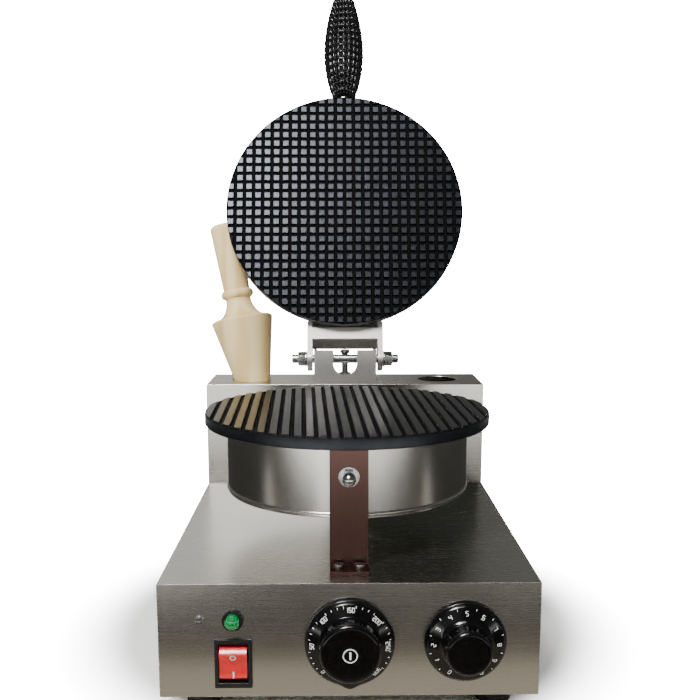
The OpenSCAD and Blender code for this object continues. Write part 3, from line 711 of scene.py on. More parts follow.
@dataclass
class BakingPlate:
    """A round cast plate whose baking face carries ribs or squares."""

    name: str
    radius: float
    thickness: float
    pattern: Pattern
    ribs: int = 26
    land: float = 0.67
    depth: float = 1.9 * MM
    rim: float = 0.7 * MM

    def rib_height(self, u: np.ndarray) -> np.ndarray:
        """Height of the rib profile across the plate.

        Within each pitch the height climbs from the groove floor to the land over a
        short slope and rounds over at the top: a clipped linear ramp, smoothed by s*s*(3-2s).
        """
        pitch = 2 * self.radius / self.ribs
        phase = np.abs(((u / pitch) % 1.0) - 0.5) * 2
        land, slope = self.land, 0.1
        s = np.clip((land + slope - phase) / (2 * slope), 0, 1)
        return self.depth * s * s * (3 - 2 * s)

    def lines(self) -> np.ndarray:
        """Places of the grid lines: eight in each pitch, close together on the slopes."""
        pitch = 2 * self.radius / self.ribs
        half = self.land / 2
        offsets = np.array([0.0, 0.5 - half - 0.05, 0.5 - half, 0.5 - half + 0.05])
        offsets = np.concatenate([offsets, 1 - offsets[1:][::-1]])
        starts = np.arange(-self.ribs // 2 - 1, self.ribs // 2 + 1)[:, None]
        return np.unique(np.round(((starts + offsets) * pitch).ravel(), 9))

    def surface(self) -> tuple[np.ndarray, list]:
        """Baking face up at z = 0, cut to a circle, with the side wall and a flat back.

        The face is a grid (x, y, h - depth), with h the lower of the two rib profiles for
        squares and one profile for straight ribs. Grid points outside the circle are pulled
        in along their radius; the outline they make is carried down as the wall.
        """
        across = self.lines()
        along = across if self.pattern is Pattern.SQUARES else np.linspace(-1, 1, 61) * self.radius * 1.03
        x, y = np.meshgrid(across, along, indexing="ij")
        distance = np.hypot(x, y)
        inside = distance <= self.radius - self.rim - 1e-6
        pull = np.where(inside, 1.0, (self.radius - self.rim) / np.maximum(distance, 1e-9))
        x, y = x * pull, y * pull
        height = self.rib_height(x)
        if self.pattern is Pattern.SQUARES:
            height = np.minimum(height, self.rib_height(y))
        points = np.stack([x, y, height - self.depth], -1).reshape(-1, 3)
        quads = grid_quads(len(across), len(along), False)[:, ::-1]
        keep = inside.ravel()[quads].any(axis=1)
        quads = quads[keep][:, ::-1]
        edges = np.concatenate([quads[:, [i, (i + 1) % 4]] for i in range(4)])
        key = {tuple(e) for e in map(tuple, edges)}
        border = np.array([e for e in key if (e[1], e[0]) not in key])
        ring = border[:, 0]
        order = np.argsort(np.arctan2(points[ring, 1], points[ring, 0]))
        ring = ring[order]
        n, count = len(points), len(ring)
        angle = np.arctan2(points[ring, 1], points[ring, 0])
        levels = [
            (self.radius - self.rim * 0.4, -self.depth * 0.5),
            (self.radius, -self.depth - self.rim * 0.3),
            (self.radius, -self.thickness + self.rim),
            (self.radius - self.rim, -self.thickness),
        ]
        walls = [np.stack([r * np.cos(angle), r * np.sin(angle), np.full(count, z)], -1) for r, z in levels]
        vertices = np.vstack([points, *walls, [[0, 0, -self.thickness]]])
        rows = [ring] + [n + i * count + np.arange(count) for i in range(len(levels))]
        faces = quads.tolist()
        for high, low in zip(rows[:-1], rows[1:]):
            faces += np.stack([high, low, np.roll(low, -1), np.roll(high, -1)], -1).tolist()
        centre = n + len(levels) * count
        faces += np.stack([rows[-1], np.full(count, centre), np.roll(rows[-1], -1)], -1).tolist()
        used, numbers = np.unique(np.concatenate([np.array(f) for f in faces]), return_inverse=True)
        starts = np.cumsum([0] + [len(f) for f in faces])
        packed = [numbers[a:b].tolist() for a, b in zip(starts[:-1], starts[1:])]
        return vertices[used], packed

    def mark_land(self, piece: bpy.types.Object, height: np.ndarray) -> None:
        """Store how far each point is up a groove's wall, as the attribute "land", which masks the painted
        groove shade.

        Args:
            piece: The plate's object.
            height: Each point's height, 0 being the top of the ribs.
        """
        land = np.clip(1 + height / self.depth, 0, 1)
        land[height < -self.depth * 1.01] = 1.0
        attribute = piece.data.attributes.new("land", "FLOAT", "POINT")
        attribute.data.foreach_set("value", land.astype(np.float32))


@dataclass
class LowerPlate:
    """The fixed plate with straight ribs, its drum and its brackets."""

    layout: Layout
    paint: Paintbox
    rib_turn: float = math.radians(2.0)
    thickness: float = 9 * MM

    def build(self) -> None:
        """Make the ribbed plate and dress the drum under it."""
        plate = BakingPlate("lower_plate_ribbed", self.layout.plate_radius, self.thickness, Pattern.STRAIGHT)
        drawn, faces = plate.surface()
        vertices = drawn @ turn("z", self.rib_turn).T
        vertices = vertices + np.array([*self.layout.plate_centre, self.layout.plate_top])
        piece = make_piece(plate.name, vertices, faces, self.paint.get(COATED_CASTING), 28)
        plate.mark_land(piece, drawn[:, 2])
        place_piece(piece, "stand", ["lower_plate"])
        dress = self.paint.dress
        dress(SPUN, 0, "drum_shell", "drum_pan")
        dress(HEAT_TINTED, 0.5 * MM, "front_bracket")
        dress(SHEET_Z, 0.5 * MM, "rear_bracket")
        dress(PLATED, 0, "drum_nuts", "clamp_nuts")
        dress(PLATED, 0.2 * MM, "drum_washers")
        dress(PLATED, 0.25 * MM, "bracket_bolts")
        dress(PLATED, 0.3 * MM, "lead_tube")
        dress(OXIDISED_SHEATH, 0, "lower_heater")
        dress(FIBRE_BOARD, 0, "lower_insulation")
        dress(SHEET_X, 0, "lower_clamp")
        dress(SLEEVE, 0, "lower_leads")


# ---------------------------------------------------------------- lid


@dataclass
class StuddedGrip:
    """A spindle-shaped moulded grip covered in rows of low studs."""

    length: float = 102 * MM
    largest: float = 18.7 * MM
    end: float = 9.6 * MM
    rows: int = 15
    columns: int = 20
    stud: float = 1.9 * MM

    def surface(self) -> tuple[np.ndarray, list]:
        """Revolve the spindle and raise a stud in each cell.

        At fraction t of the length the core radius is e + (m - e) sin(pi t^0.9)^0.9; each
        stud adds s * bump(row) * bump(column), where bump is a flat-topped hump that is 0 at
        the cell's borders.
        """
        per_row, per_column = 8, 6
        t = np.linspace(0, 1, self.rows * per_row + 1)
        angle = np.linspace(0, 2 * np.pi, self.columns * per_column, endpoint=False)
        core = self.end + (self.largest - self.end) * np.sin(np.pi * t**0.9).clip(0) ** 0.9
        core = core - self.stud * 0.9

        def bump(phase: np.ndarray) -> np.ndarray:
            """Hump that is 0 at whole numbers and flat near their middle."""
            s = np.clip(1.9 * np.sin(np.pi * (phase % 1.0)) - 0.35, 0, 1)
            return s * s * (3 - 2 * s)

        lift = np.outer(bump(t * self.rows), bump(angle / (2 * np.pi) * self.columns + 0.5))
        r = core[:, None] + self.stud * lift
        z = np.broadcast_to((t * self.length)[:, None], r.shape)
        body = np.stack([r * np.cos(angle), r * np.sin(angle), z], -1).reshape(-1, 3)
        n, count = len(body), len(angle)
        vertices = np.vstack([body, [[0, 0, 0], [0, 0, self.length]]])
        faces = grid_quads(len(t), count, True).tolist()
        j = np.arange(count)
        k = (j + 1) % count
        faces += np.stack([np.full(count, n), k, j], -1).tolist()
        last = (len(t) - 1) * count
        faces += np.stack([np.full(count, n + 1), last + j, last + k], -1).tolist()
        return vertices, faces


@dataclass
class Lid:
    """The hinged upper plate with its cover, arm and handle."""

    layout: Layout
    paint: Paintbox
    thickness: float = 12 * MM
    gap: float = 1.5 * MM
    grip_gap: float = 8.8 * MM

    def build(self) -> None:
        """Make the waffle plate and the grip, and dress the rest."""
        place = self.layout
        reach = place.plate_centre[1] - place.pin[0]
        face = place.plate_top + self.gap - place.pin[1]
        plate = BakingPlate("upper_plate_waffle", place.plate_radius, self.thickness, Pattern.SQUARES)
        drawn, faces = plate.surface()
        # The lid's baking face looks down when it is shut
        vertices = drawn @ turn("x", math.pi).T + np.array([0, reach, face])
        piece = make_piece(plate.name, place.open_lid(vertices), faces, self.paint.get(COATED_CASTING), 28)
        plate.mark_land(piece, drawn[:, 2])
        place_piece(piece, "lid", ["upper_plate"])

        grip = StuddedGrip()
        vertices, faces = grip.surface()
        start = reach - place.plate_radius - self.grip_gap
        vertices = vertices @ turn("x", math.pi / 2).T + np.array([0, start, place.rod_height()])
        piece = make_piece("studded_grip", place.open_lid(vertices), faces, self.paint.get(PHENOLIC), 60)
        place_piece(piece, "lid", ["handle_grip"])

        dress = self.paint.dress
        dress(SPUN, 0, "upper_cover")
        dress(SATIN_SHEET, 0.5 * MM, "hinge_arm")
        dress(PLATED, 0.4 * MM, "arm_screws")
        dress(BLACK_ABS, 0.4 * MM, "lead_gland")
        dress(PLATED, 0, "handle_rod")
        dress(PLATED, 0.5 * MM, "handle_ferrule")
        dress(OXIDISED_SHEATH, 0, "upper_heater")
        dress(FIBRE_BOARD, 0, "upper_insulation")


# ---------------------------------------------------------------- controls


# Numerals are drawn from up to seven straight strokes in a cell 0.55 wide and 1 high
DIGIT_PITCH = 0.85
DIGIT_GAP = 0.3
STROKES = {
    "a": ((0, 1), (0.55, 1)),
    "b": ((0.55, 1), (0.55, 0.5)),
    "c": ((0.55, 0.5), (0.55, 0)),
    "d": ((0, 0), (0.55, 0)),
    "e": ((0, 0), (0, 0.5)),
    "f": ((0, 0.5), (0, 1)),
    "g": ((0, 0.5), (0.55, 0.5)),
}
NUMERALS = {
    "0": "abcdef", "1": "bc", "2": "abged", "3": "abgcd", "4": "fgbc",
    "5": "afgcd", "6": "afgedc", "7": "abc", "8": "abcdefg", "9": "abcdfg",
}


@dataclass(frozen=True)
class DialScale:
    """Numerals and ticks spaced evenly round a dial, running clockwise."""

    labels: Sequence[str]
    first_deg: float
    step_deg: float
    ticks_between: int
    radius: float
    height: float
    tick_radius: float
    skirt_height: float
    ink_width: float = 0.42 * MM

    def strokes(self) -> list[tuple[tuple[np.ndarray, list], float, float]]:
        """Strips of every numeral and tick.

        Returns:
            For each strip its mesh in (u, v, side), its angle in radians and its radius.
        """
        found = []
        for i, label in enumerate(self.labels):
            angle = math.radians(self.first_deg - i * self.step_deg)
            width = DIGIT_PITCH * len(label) - DIGIT_GAP
            for k, digit in enumerate(label):
                left = DIGIT_PITCH * k
                for name in NUMERALS[digit]:
                    ends = [
                        ((left + u - width / 2) * self.height, (v - 0.5) * self.height)
                        for u, v in STROKES[name]
                    ]
                    found.append((stroke(ends, self.ink_width), angle, self.radius))
            if i + 1 < len(self.labels):
                for t in range(1, self.ticks_between + 1):
                    between = angle - math.radians(self.step_deg * t / (self.ticks_between + 1))
                    tick = [(0, -0.8 * MM), (0, 0.5 * MM)]
                    found.append((stroke(tick, self.ink_width), between, self.tick_radius))
        return found


@dataclass
class Controls:
    """Knobs, rocker switch and lamp on the front panel."""

    layout: Layout
    paint: Paintbox
    ink: float = 0.06 * MM
    rocker_rest: float = math.radians(8)
    hollow_radius: float = 19.5 * MM
    hollow_middle: float = -27.5 * MM

    def ink_height(self, side: np.ndarray) -> np.ndarray:
        """Height of a mark's points about the face, side being 1 above and 0 below."""
        return (side * 1.6 - 0.8) * self.ink

    def knob_place(self, node: str) -> np.ndarray:
        """Middle of a knob's back face."""
        low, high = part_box(node)
        axis = next(j for j in FRAME["joints"] if j["child"] == FRAME["nodes"][node]["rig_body"])
        return np.array([axis["pos_m"][0], high.y, axis["pos_m"][2]])

    def stand_up(self, vertices: np.ndarray, place: np.ndarray) -> np.ndarray:
        """Turn a shape drawn along +Z so that it points to the front, at a place."""
        return vertices @ turn("x", math.pi / 2).T + place

    def knob(self, name: str, node: str, corners: Sequence[tuple[float, float]], lobe: float) -> np.ndarray:
        """Turn a knob on the lathe and draw a pointer lobe out of its skirt's lowest part.

        Where the radius is over 90% of the largest one it grows by
        lobe * exp(-((a + 90 deg) / 9 deg)^2).

        Args:
            name: The piece's name.
            node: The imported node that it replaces.
            corners: Outline (radius, height) in millimetres.
            lobe: Reach of the lobe beyond the skirt.

        Returns:
            The rounded outline.
        """
        outline = round_corners(np.array(corners) * MM, 1.0 * MM, 5)
        vertices, faces = lathe(outline, 192)
        r = np.hypot(vertices[:, 0], vertices[:, 1])
        angle = np.arctan2(vertices[:, 1], vertices[:, 0])
        skirt = np.clip((r / r.max() - 0.85) / 0.1, 0, 1)
        reach = lobe * skirt * np.exp(-(((angle + math.pi / 2) / math.radians(9)) ** 2))
        vertices[:, :2] *= (1 + reach / np.maximum(r, 1e-6))[:, None]
        place = self.knob_place(node)
        piece = make_piece(name, self.stand_up(vertices, place), faces, self.paint.get(PHENOLIC), 40)
        body = FRAME["nodes"][node]["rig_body"]
        place_piece(piece, body, [node])
        return outline

    def dial_marks(self, name: str, node: str, outline: np.ndarray, scale: DialScale) -> None:
        """Print numerals and ticks round a knob's sloping skirt.

        A mark's point (u, v) lies at radius r + v and at angle a - u / r; its height is that
        of the outline there, plus or minus the ink's thickness.

        Args:
            name: The piece's name.
            node: The knob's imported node.
            outline: The knob's outline (radius, height).
            scale: What is printed.
        """
        front = outline[outline[:, 1] >= scale.skirt_height]
        front = front[np.argsort(front[:, 0])]
        parts = []
        for (vertices, faces), angle, radius in scale.strokes():
            r = radius + vertices[:, 1]
            a = angle - vertices[:, 0] / radius
            z = np.interp(r, front[:, 0], front[:, 1]) + self.ink_height(vertices[:, 2])
            parts.append((np.stack([r * np.cos(a), r * np.sin(a), z], -1), faces))
        vertices, faces = join(parts)
        raised = self.stand_up(vertices, self.knob_place(node))
        piece = make_piece(name, raised, faces, self.paint.get(WHITE_INK))
        place_piece(piece, FRAME["nodes"][node]["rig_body"])

    def cap_mark(self) -> None:
        """Print a ring and one pointer line on the thermostat's cap."""
        low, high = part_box("thermostat_cap")
        angle = np.linspace(0, 2 * np.pi, 48, endpoint=False)
        ring = np.stack([np.cos(angle), np.sin(angle)], -1) * 4.4 * MM
        line = [(0, -2.6 * MM), (0, 2.6 * MM)]
        vertices, faces = join([stroke(ring, 0.7 * MM, True), stroke(line, 1.2 * MM)])
        vertices[:, 2] = self.ink_height(vertices[:, 2])
        place = np.array([(low.x + high.x) / 2, low.y, (low.z + high.z) / 2])
        raised = self.stand_up(vertices, place)
        piece = make_piece("thermostat_cap_mark", raised, faces, self.paint.get(WHITE_INK))
        place_piece(piece, "thermostat_dial")

    def rocker_marks(self) -> None:
        """Print a ring above and a bar below on the rocker's hollow face.

        A point at height z from the pivot lies at y = c + sqrt(h^2 - z^2), the face being a
        hollow of radius h whose middle is c in front; the whole is then tilted.
        """
        pivot = next(j for j in FRAME["joints"] if j["child"] == "rocker_body")["pos_m"]
        angle = np.linspace(0, 2 * np.pi, 32, endpoint=False)
        ring = np.stack([np.cos(angle) * 1.7, np.sin(angle) * 1.9 + 6.4], -1) * MM
        bar = np.array([(0, -4.4), (0, -6.4), (0, -8.4)]) * MM
        vertices, faces = join([stroke(ring, 0.75 * MM, True), stroke(bar, 0.8 * MM)])
        x, z, side = vertices.T
        hollow = self.hollow_middle + np.sqrt(self.hollow_radius**2 - z**2)
        flat = np.stack([x, hollow - self.ink_height(side), z], -1)
        shape = flat @ turn("x", self.rocker_rest).T + np.array(pivot)
        piece = make_piece("rocker_marks", shape, faces, self.paint.get(WHITE_INK))
        place_piece(piece, "rocker_body")

    def build(self) -> None:
        """Make every control."""
        thermostat = self.knob(
            "thermostat_knob_moulding",
            "thermostat_knob",
            [
                (0, 0), (29.5, 0), (29.5, 2.5), (28, 5), (21.5, 8),
                (20.4, 8.6), (19.6, 19), (18, 20.4), (0, 20.4),
            ],
            2.2 * MM,
        )
        timer = self.knob(
            "timer_knob_moulding",
            "timer_knob",
            [(0, 0), (27, 0), (27, 2), (25, 4.5), (17.5, 7), (15.6, 9), (14.8, 19.5), (13.4, 20.9), (0, 20.9)],
            0.0,
        )
        heat = DialScale(
            labels=[str(n) for n in range(0, 301, 50)],
            first_deg=225,
            step_deg=45,
            ticks_between=4,
            radius=24.6 * MM,
            height=2.6 * MM,
            tick_radius=26.6 * MM,
            skirt_height=5 * MM,
        )
        self.dial_marks("thermostat_dial_marks", "thermostat_knob", thermostat, heat)
        minutes = DialScale(
            labels=[str(n) for n in range(11)],
            first_deg=240,
            step_deg=30,
            ticks_between=1,
            radius=21.4 * MM,
            height=2.8 * MM,
            tick_radius=24.2 * MM,
            skirt_height=4.5 * MM,
        )
        self.dial_marks("timer_dial_marks", "timer_knob", timer, minutes)
        self.cap_mark()
        self.rocker_marks()
        dress = self.paint.dress
        dress(PHENOLIC, 0.15 * MM, "thermostat_cap")
        dress(BRASS, 0, "thermostat_shaft", "timer_shaft")
        dress(RED_RESIN, 0.4 * MM, "rocker", segments=3)
        dress(BLACK_ABS, 0.5 * MM, "switch_housing")
        dress(BLACK_ABS, 0.3 * MM, "lamp_holder")
        dress(GREEN_LENS, 0.2 * MM, "lamp_lens")
        dress(PLATED, 0.15 * MM, "panel_screw")
        dress(THERMOSET, 0.5 * MM, "thermostat_body", "timer_body")
        dress(COPPER, 0, "thermostat_bulb")


# ---------------------------------------------------------------- case and column


@dataclass
class Cabinet:
    """Case, rear column, hinge bracket and what is fixed to them."""

    layout: Layout
    paint: Paintbox
    sheet_edge: float = 0.58 * MM

    def build(self) -> None:
        """Dress every fixed sheet, screw and fitting."""
        dress = self.paint.dress
        dress(SHEET_X, self.sheet_edge, "case_shell", "column_shell", segments=3, clamp=False)
        dress(SHEET_X, 0, "case_floor")
        dress(SHEET_X, 0.3 * MM, "column_back")
        dress(SATIN_SHEET, 0.5 * MM, "hinge_bracket")
        dress(PLATED, 0.2 * MM, "floor_screws", "foot_bolts", "column_screws", "bracket_screws")
        dress(PLATED, 0.3 * MM, "hinge_pin", "pin_nuts", "pin_washers", "stop_screw", "stop_nut")
        dress(RUBBER, 0.8 * MM, "feet")
        dress(THERMOSET, 0.3 * MM, "terminal_block")
        dress(BRASS, 0, "earth_stud")
        dress(BLACK_ABS, 0.4 * MM, "cable_gland", "gland_nut")
        dress(SLEEVE, 0, "case_leads")


# ---------------------------------------------------------------- cone former


@dataclass
class ConeFormer:
    """The turned wooden cone with its handle, leaning in the left hole."""

    paint: Paintbox
    lean_left: float = math.radians(10.5)
    lean_back: float = math.radians(11)
    half_angle: float = math.radians(12)
    hole_radius: float = 16.6 * MM
    shoulder: float = 56 * MM
    top: float = 147 * MM

    def profile(self) -> np.ndarray:
        """Outline from the point up to the handle's end, as (radius, height).

        The cone widens by tan(half angle); the flare is a quarter of an ellipse; the bead
        is a half circle squashed to 8 mm; the handle swells slightly to its end.
        """
        slope = math.tan(self.half_angle)
        tip = -self.hole_radius / slope
        wide = self.hole_radius + self.shoulder * slope
        neck = 11.6 * MM
        a = np.linspace(0, np.pi / 2, 16)
        ball = np.stack([2.6 * MM * np.sin(a), tip + 14.6 * MM - 2.6 * MM * np.cos(a)], -1)
        ball[0, 0] = 0
        cone_z = np.linspace(tip + 15.5 * MM, self.shoulder - 0.6 * MM, 24)
        cone = np.stack([self.hole_radius + cone_z * slope, cone_z], -1)
        edge = np.array(
            [[wide - 0.1 * MM, self.shoulder + 0.4 * MM], [wide - 1.2 * MM, self.shoulder + 1.4 * MM]]
        )
        b = np.linspace(np.pi / 2, 0, 20)
        flare_r = neck + (wide - 2.4 * MM - neck) * (1 - np.cos(b))
        flare_z = self.shoulder + 2 * MM + 19 * MM * (1 - np.sin(b))
        flare = np.stack([flare_r, flare_z], -1)
        c = np.linspace(-np.pi / 2, np.pi / 2, 14)
        bead = np.stack([12.2 * MM + 2.8 * MM * np.cos(c), 81 * MM + 3.8 * MM * np.sin(c)], -1)
        h = np.linspace(0, 1, 12)
        handle = np.stack([12.3 * MM + 2.1 * MM * h, 85.5 * MM + (self.top - 90 * MM) * h], -1)
        d = np.linspace(0, np.pi / 2, 10)
        end = np.stack([10.2 * MM + 4.2 * MM * np.cos(d), self.top - 4.2 * MM + 4.2 * MM * np.sin(d)], -1)
        return np.vstack([ball, cone, edge, flare, bead, handle, end, [[0, self.top]]])

    def build(self) -> None:
        """Turn the former and stand it in its hole."""
        vertices, faces = lathe(self.profile(), 128)
        low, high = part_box("cone_former")
        column_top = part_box("column_shell")[1].z
        slant = np.array([-math.tan(self.lean_left), math.tan(self.lean_back)])
        lean = math.atan(float(np.linalg.norm(slant)))
        towards = math.atan2(slant[1], slant[0])
        vertices = vertices @ (turn("z", towards) @ turn("y", lean)).T
        # The handle's end reaches furthest left and back, so it sets the place
        inset = 0.03 * MM
        vertices = vertices + np.array(
            [low.x + inset - vertices[:, 0].min(), high.y - inset - vertices[:, 1].max(), column_top]
        )
        piece = make_piece("turned_cone_former", vertices, faces, self.paint.get(MAPLE), 60)
        place_piece(piece, "former", ["cone_former"])


# ---------------------------------------------------------------- studio


# Cards on the floor: name, span across, span along from the case's front, light given off
FLOOR_CARDS = (
    ("near_strip", (-0.5, 0.5), (-0.08, 0.0), (0.5, 0.45, 0.36)),
    ("dark_strip", (-0.6, 0.6), (-0.33, -0.08), (0.055, 0.05, 0.038)),
    ("dark_middle", (-0.14, 0.08), (-0.85, -0.33), (0.04, 0.03, 0.027)),
    ("bright_band", (-0.24, -0.14), (-0.85, -0.33), (2.4, 2.35, 2.25)),
    ("dim_left", (-1.6, -0.24), (-0.5, -0.33), (0.09, 0.09, 0.075)),
    ("left_side", (-1.6, -0.6), (-0.33, 0.0), (0.05, 0.05, 0.045)),
    ("grey_right", (0.08, 0.22), (-0.85, -0.33), (0.3, 0.29, 0.22)),
    ("dim_right", (0.22, 1.6), (-0.5, -0.33), (0.05, 0.05, 0.045)),
    ("right_side", (0.6, 1.6), (-0.33, 0.0), (0.04, 0.04, 0.035)),
    ("mid_left", (-1.6, -0.24), (-0.85, -0.5), (3.6, 3.6, 3.5)),
    ("mid_right", (0.22, 1.6), (-0.85, -0.5), (2.4, 2.4, 2.35)),
    ("far", (-1.6, 1.6), (-2.2, -0.85), (4.5, 4.5, 4.4)),
)
# What the metal sees round it, from the left to the right
ROOM_STOPS = (
    (0.0, (0.12, 0.12, 0.11, 1)),
    (0.25, (0.2, 0.2, 0.19, 1)),
    (0.4, (0.85, 0.85, 0.83, 1)),
    (0.47, (0.6, 0.6, 0.57, 1)),
    (0.55, (0.12, 0.125, 0.11, 1)),
    (1.0, (0.16, 0.16, 0.15, 1)),
)


@dataclass
class Studio:
    """Pale floor, soft lights, cards that the bright metal mirrors, and the camera."""

    layout: Layout
    lens: float = 47.25
    distance: float = 0.566
    rise: float = 0.21875
    side: float = -0.0091
    pitch: float = math.radians(9.24)
    yaw: float = math.radians(0.94)
    shift: float = 40 / 700
    backdrop: float = 30.0
    card_height: float = 0.0015
    floor_near: float = 0.17
    floor_far: float = 0.29

    def camera(self) -> None:
        """Set the camera in front of the case, looking slightly down."""
        data = bpy.data.cameras.new("camera")
        data.lens = self.lens
        data.sensor_width = 36.0
        data.shift_y = self.shift
        data.clip_start = 0.01
        camera = bpy.data.objects.new("camera", data)
        bpy.context.scene.collection.objects.link(camera)
        camera.location = (self.side, self.layout.front - self.distance, self.layout.case_top + self.rise)
        camera.rotation_euler = (math.pi / 2 - self.pitch, 0, -self.yaw)
        bpy.context.scene.camera = camera

    def card(
        self,
        name: str,
        centre: Sequence[float],
        size: Sequence[float],
        aim: Sequence[float],
        colour: Sequence[float],
        one_sided: bool = False,
    ) -> None:
        """A flat glowing card seen only in the metal.

        Args:
            name: Its name.
            centre: Its middle.
            size: Width and height.
            aim: The point that it faces.
            colour: The light that it gives off.
            one_sided: Whether its back is clear.
        """
        bpy.ops.mesh.primitive_plane_add(size=1, location=centre)
        card = bpy.context.object
        card.name = name
        card.scale = (size[0], size[1], 1)
        card.rotation_euler = (Vector(aim) - Vector(centre)).to_track_quat("Z", "Y").to_euler()
        material = bpy.data.materials.new(name)
        material.use_nodes = True
        tree = material.node_tree
        tree.nodes.clear()
        glow = add_node(tree, "ShaderNodeEmission", {"Color": (*colour, 1.0), "Strength": 1.0})
        out = add_node(tree, "ShaderNodeOutputMaterial")
        if one_sided:
            behind = add_node(tree, "ShaderNodeNewGeometry").outputs["Backfacing"]
            mix = add_node(tree, "ShaderNodeMixShader", None, in0=behind)
            tree.links.new(glow.outputs[0], mix.inputs[1])
            tree.links.new(add_node(tree, "ShaderNodeBsdfTransparent").outputs[0], mix.inputs[2])
            glow = mix
        tree.links.new(glow.outputs[0], out.inputs["Surface"])
        card.data.materials.append(material)
        card.visible_camera = False
        card.visible_diffuse = False
        card.visible_shadow = False
        card.visible_transmission = False
        card.visible_volume_scatter = False

    def floor_card(
        self, name: str, x: tuple[float, float], y: tuple[float, float], colour: Sequence[float]
    ) -> None:
        """A card lying just above the floor, between two places across and two along."""
        centre = ((x[0] + x[1]) / 2, (y[0] + y[1]) / 2, self.card_height)
        aim = (centre[0], centre[1], 1.0)
        self.card(name, centre, (x[1] - x[0], y[1] - y[0]), aim, colour)

    def light(
        self,
        name: str,
        place: Sequence[float],
        aim: Sequence[float],
        size: Sequence[float],
        watts: float,
        mirrored: bool = False,
    ) -> None:
        """A soft rectangular light.

        Args:
            name: Its name.
            place: Where it stands.
            aim: The point that it faces.
            size: Width and height.
            watts: Its power.
            mirrored: Whether glossy faces show it.
        """
        data = bpy.data.lights.new(name, "AREA")
        data.shape = "RECTANGLE"
        data.size, data.size_y = size
        data.energy = watts
        lamp = bpy.data.objects.new(name, data)
        bpy.context.scene.collection.objects.link(lamp)
        lamp.location = place
        lamp.visible_glossy = mirrored
        direction = Vector(aim) - Vector(place)
        lamp.rotation_euler = direction.to_track_quat("-Z", "Y").to_euler()

    def world(self) -> None:
        """White surroundings to the eye; to the metal, light on the left and dark on the right."""
        world = bpy.data.worlds.new("studio")
        world.use_nodes = True
        tree = world.node_tree
        tree.nodes.clear()
        looking = add_node(tree, "ShaderNodeTexCoord").outputs["Generated"]
        parts = add_node(tree, "ShaderNodeSeparateXYZ", None, Vector=looking)
        across = add_node(
            tree, "ShaderNodeMapRange", {"From Min": -1.0, "From Max": 1.0}, Value=parts.outputs["X"]
        ).outputs["Result"]
        room = add_node(tree, "ShaderNodeValToRGB", {"stops": ROOM_STOPS}, Fac=across).outputs["Color"]
        ahead = add_node(
            tree,
            "ShaderNodeMapRange",
            {"From Min": -0.25, "From Max": 0.25, "To Min": 0.45, "To Max": 1.0},
            Value=parts.outputs["Y"],
        ).outputs["Result"]
        soft = add_node(tree, "ShaderNodeBackground", None, Color=room, Strength=ahead)
        white = add_node(tree, "ShaderNodeBackground", {"Color": (1, 1, 1, 1), "Strength": self.backdrop})
        path = add_node(tree, "ShaderNodeLightPath")
        mix = add_node(tree, "ShaderNodeMixShader", None, in0=path.outputs["Is Camera Ray"])
        tree.links.new(soft.outputs[0], mix.inputs[1])
        tree.links.new(white.outputs[0], mix.inputs[2])
        out = add_node(tree, "ShaderNodeOutputWorld")
        tree.links.new(mix.outputs[0], out.inputs["Surface"])
        bpy.context.scene.world = world

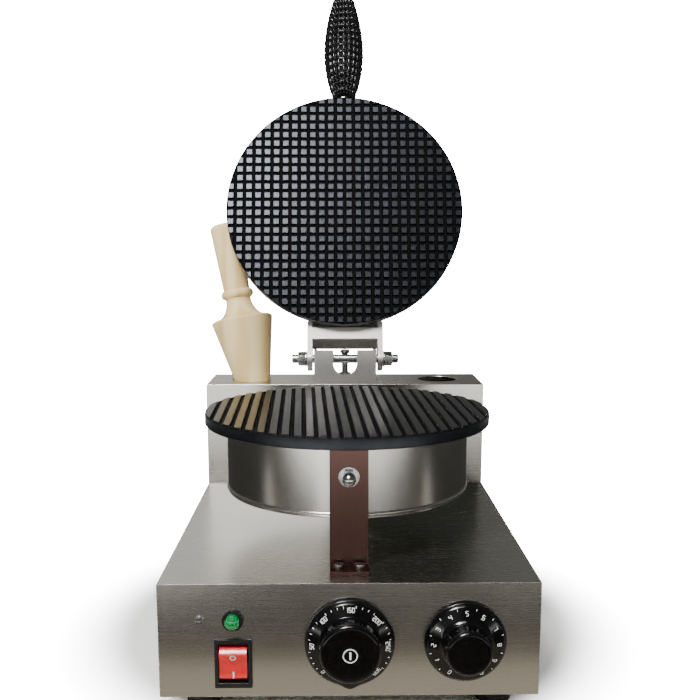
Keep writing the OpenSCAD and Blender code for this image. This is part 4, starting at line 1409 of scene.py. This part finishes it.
    def floor(self) -> None:
        """A wide pale floor that turns to plain white away from the machine."""
        bpy.ops.mesh.primitive_plane_add(size=60, location=(0, 0, -0.0002))
        floor = bpy.context.object
        floor.name = "floor"
        finish = Speckled("pale_floor", "#f4f3f1", 0.7, grain_mm=4.0, depth_mm=0.02, change=0.01)
        material = finish.build()
        tree = material.node_tree
        place = add_node(tree, "ShaderNodeTexCoord").outputs["Object"]
        distance = add_node(tree, "ShaderNodeVectorMath", {"operation": "LENGTH"}, in0=place).outputs["Value"]
        far = add_node(
            tree,
            "ShaderNodeMapRange",
            {"From Min": self.floor_near, "From Max": self.floor_far, "interpolation_type": "SMOOTHSTEP"},
            Value=distance,
        ).outputs["Result"]
        seen = add_node(tree, "ShaderNodeLightPath").outputs["Is Camera Ray"]
        share = add_node(tree, "ShaderNodeMath", {"operation": "MULTIPLY"}, in0=far, in1=seen).outputs[0]
        white = add_node(tree, "ShaderNodeEmission", {"Color": (1, 1, 1, 1), "Strength": self.backdrop})
        mix = add_node(tree, "ShaderNodeMixShader", None, in0=share)
        tree.links.new(tree.nodes["Principled BSDF"].outputs[0], mix.inputs[1])
        tree.links.new(white.outputs[0], mix.inputs[2])
        tree.links.new(mix.outputs[0], tree.nodes["Material Output"].inputs["Surface"])
        floor.data.materials.append(material)

    def cards(self) -> None:
        """Lay out what the front panel, the drum and the column mirror."""
        front = self.layout.front
        for name, across, ahead, colour in FLOOR_CARDS:
            self.floor_card(name, across, (front + ahead[0], front + ahead[1]), colour)
        for side in (-1, 1):
            near, away = sorted((side * 0.14, side * 1.6))
            self.floor_card("beside", (near, away), (front, 0.9), (0.05, 0.05, 0.045))
        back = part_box("column_shell")[0].y - 0.002
        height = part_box("column_shell")[1].z
        middle = (self.layout.case_top + height) / 2
        size = (0.11, height - self.layout.case_top)
        self.card("rear_left", (-0.069, back, middle), size, (-0.069, -1.0, middle), (1.5, 1.5, 1.42), True)
        self.card("rear_right", (0.066, back, middle), size, (0.066, -1.0, middle), (0.03, 0.034, 0.028), True)
        self.card("overhead", (-0.12, -0.8, 1.5), (0.5, 0.45), (0.0, -0.15, 0.1), (7.0, 7.0, 6.8))

    def build(self) -> None:
        """Set up the whole studio."""
        self.camera()
        self.world()
        self.floor()
        self.cards()
        self.light("key", (-0.9, -0.9, 1.3), (0, 0, 0.2), (0.8, 0.8), 16)
        self.light("window", (-0.25, -0.6, 1.0), (0, 0.13, 0.31), (0.24, 0.3), 14, True)
        self.light("fill", (1.1, -0.6, 0.9), (0, 0, 0.2), (0.8, 0.8), 4)
        self.light("top", (0, 0.3, 1.6), (0, 0, 0.2), (1.2, 0.8), 12)


def main() -> None:
    """Build every sub-assembly in order."""
    logging.basicConfig(level=logging.INFO, format="%(name)s: %(message)s")
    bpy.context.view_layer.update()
    layout = Layout.read()
    paint = Paintbox()
    Studio(layout).build()
    Cabinet(layout, paint).build()
    LowerPlate(layout, paint).build()
    Lid(layout, paint).build()
    Controls(layout, paint).build()
    ConeFormer(paint).build()


if __name__ == "__main__":
    main()
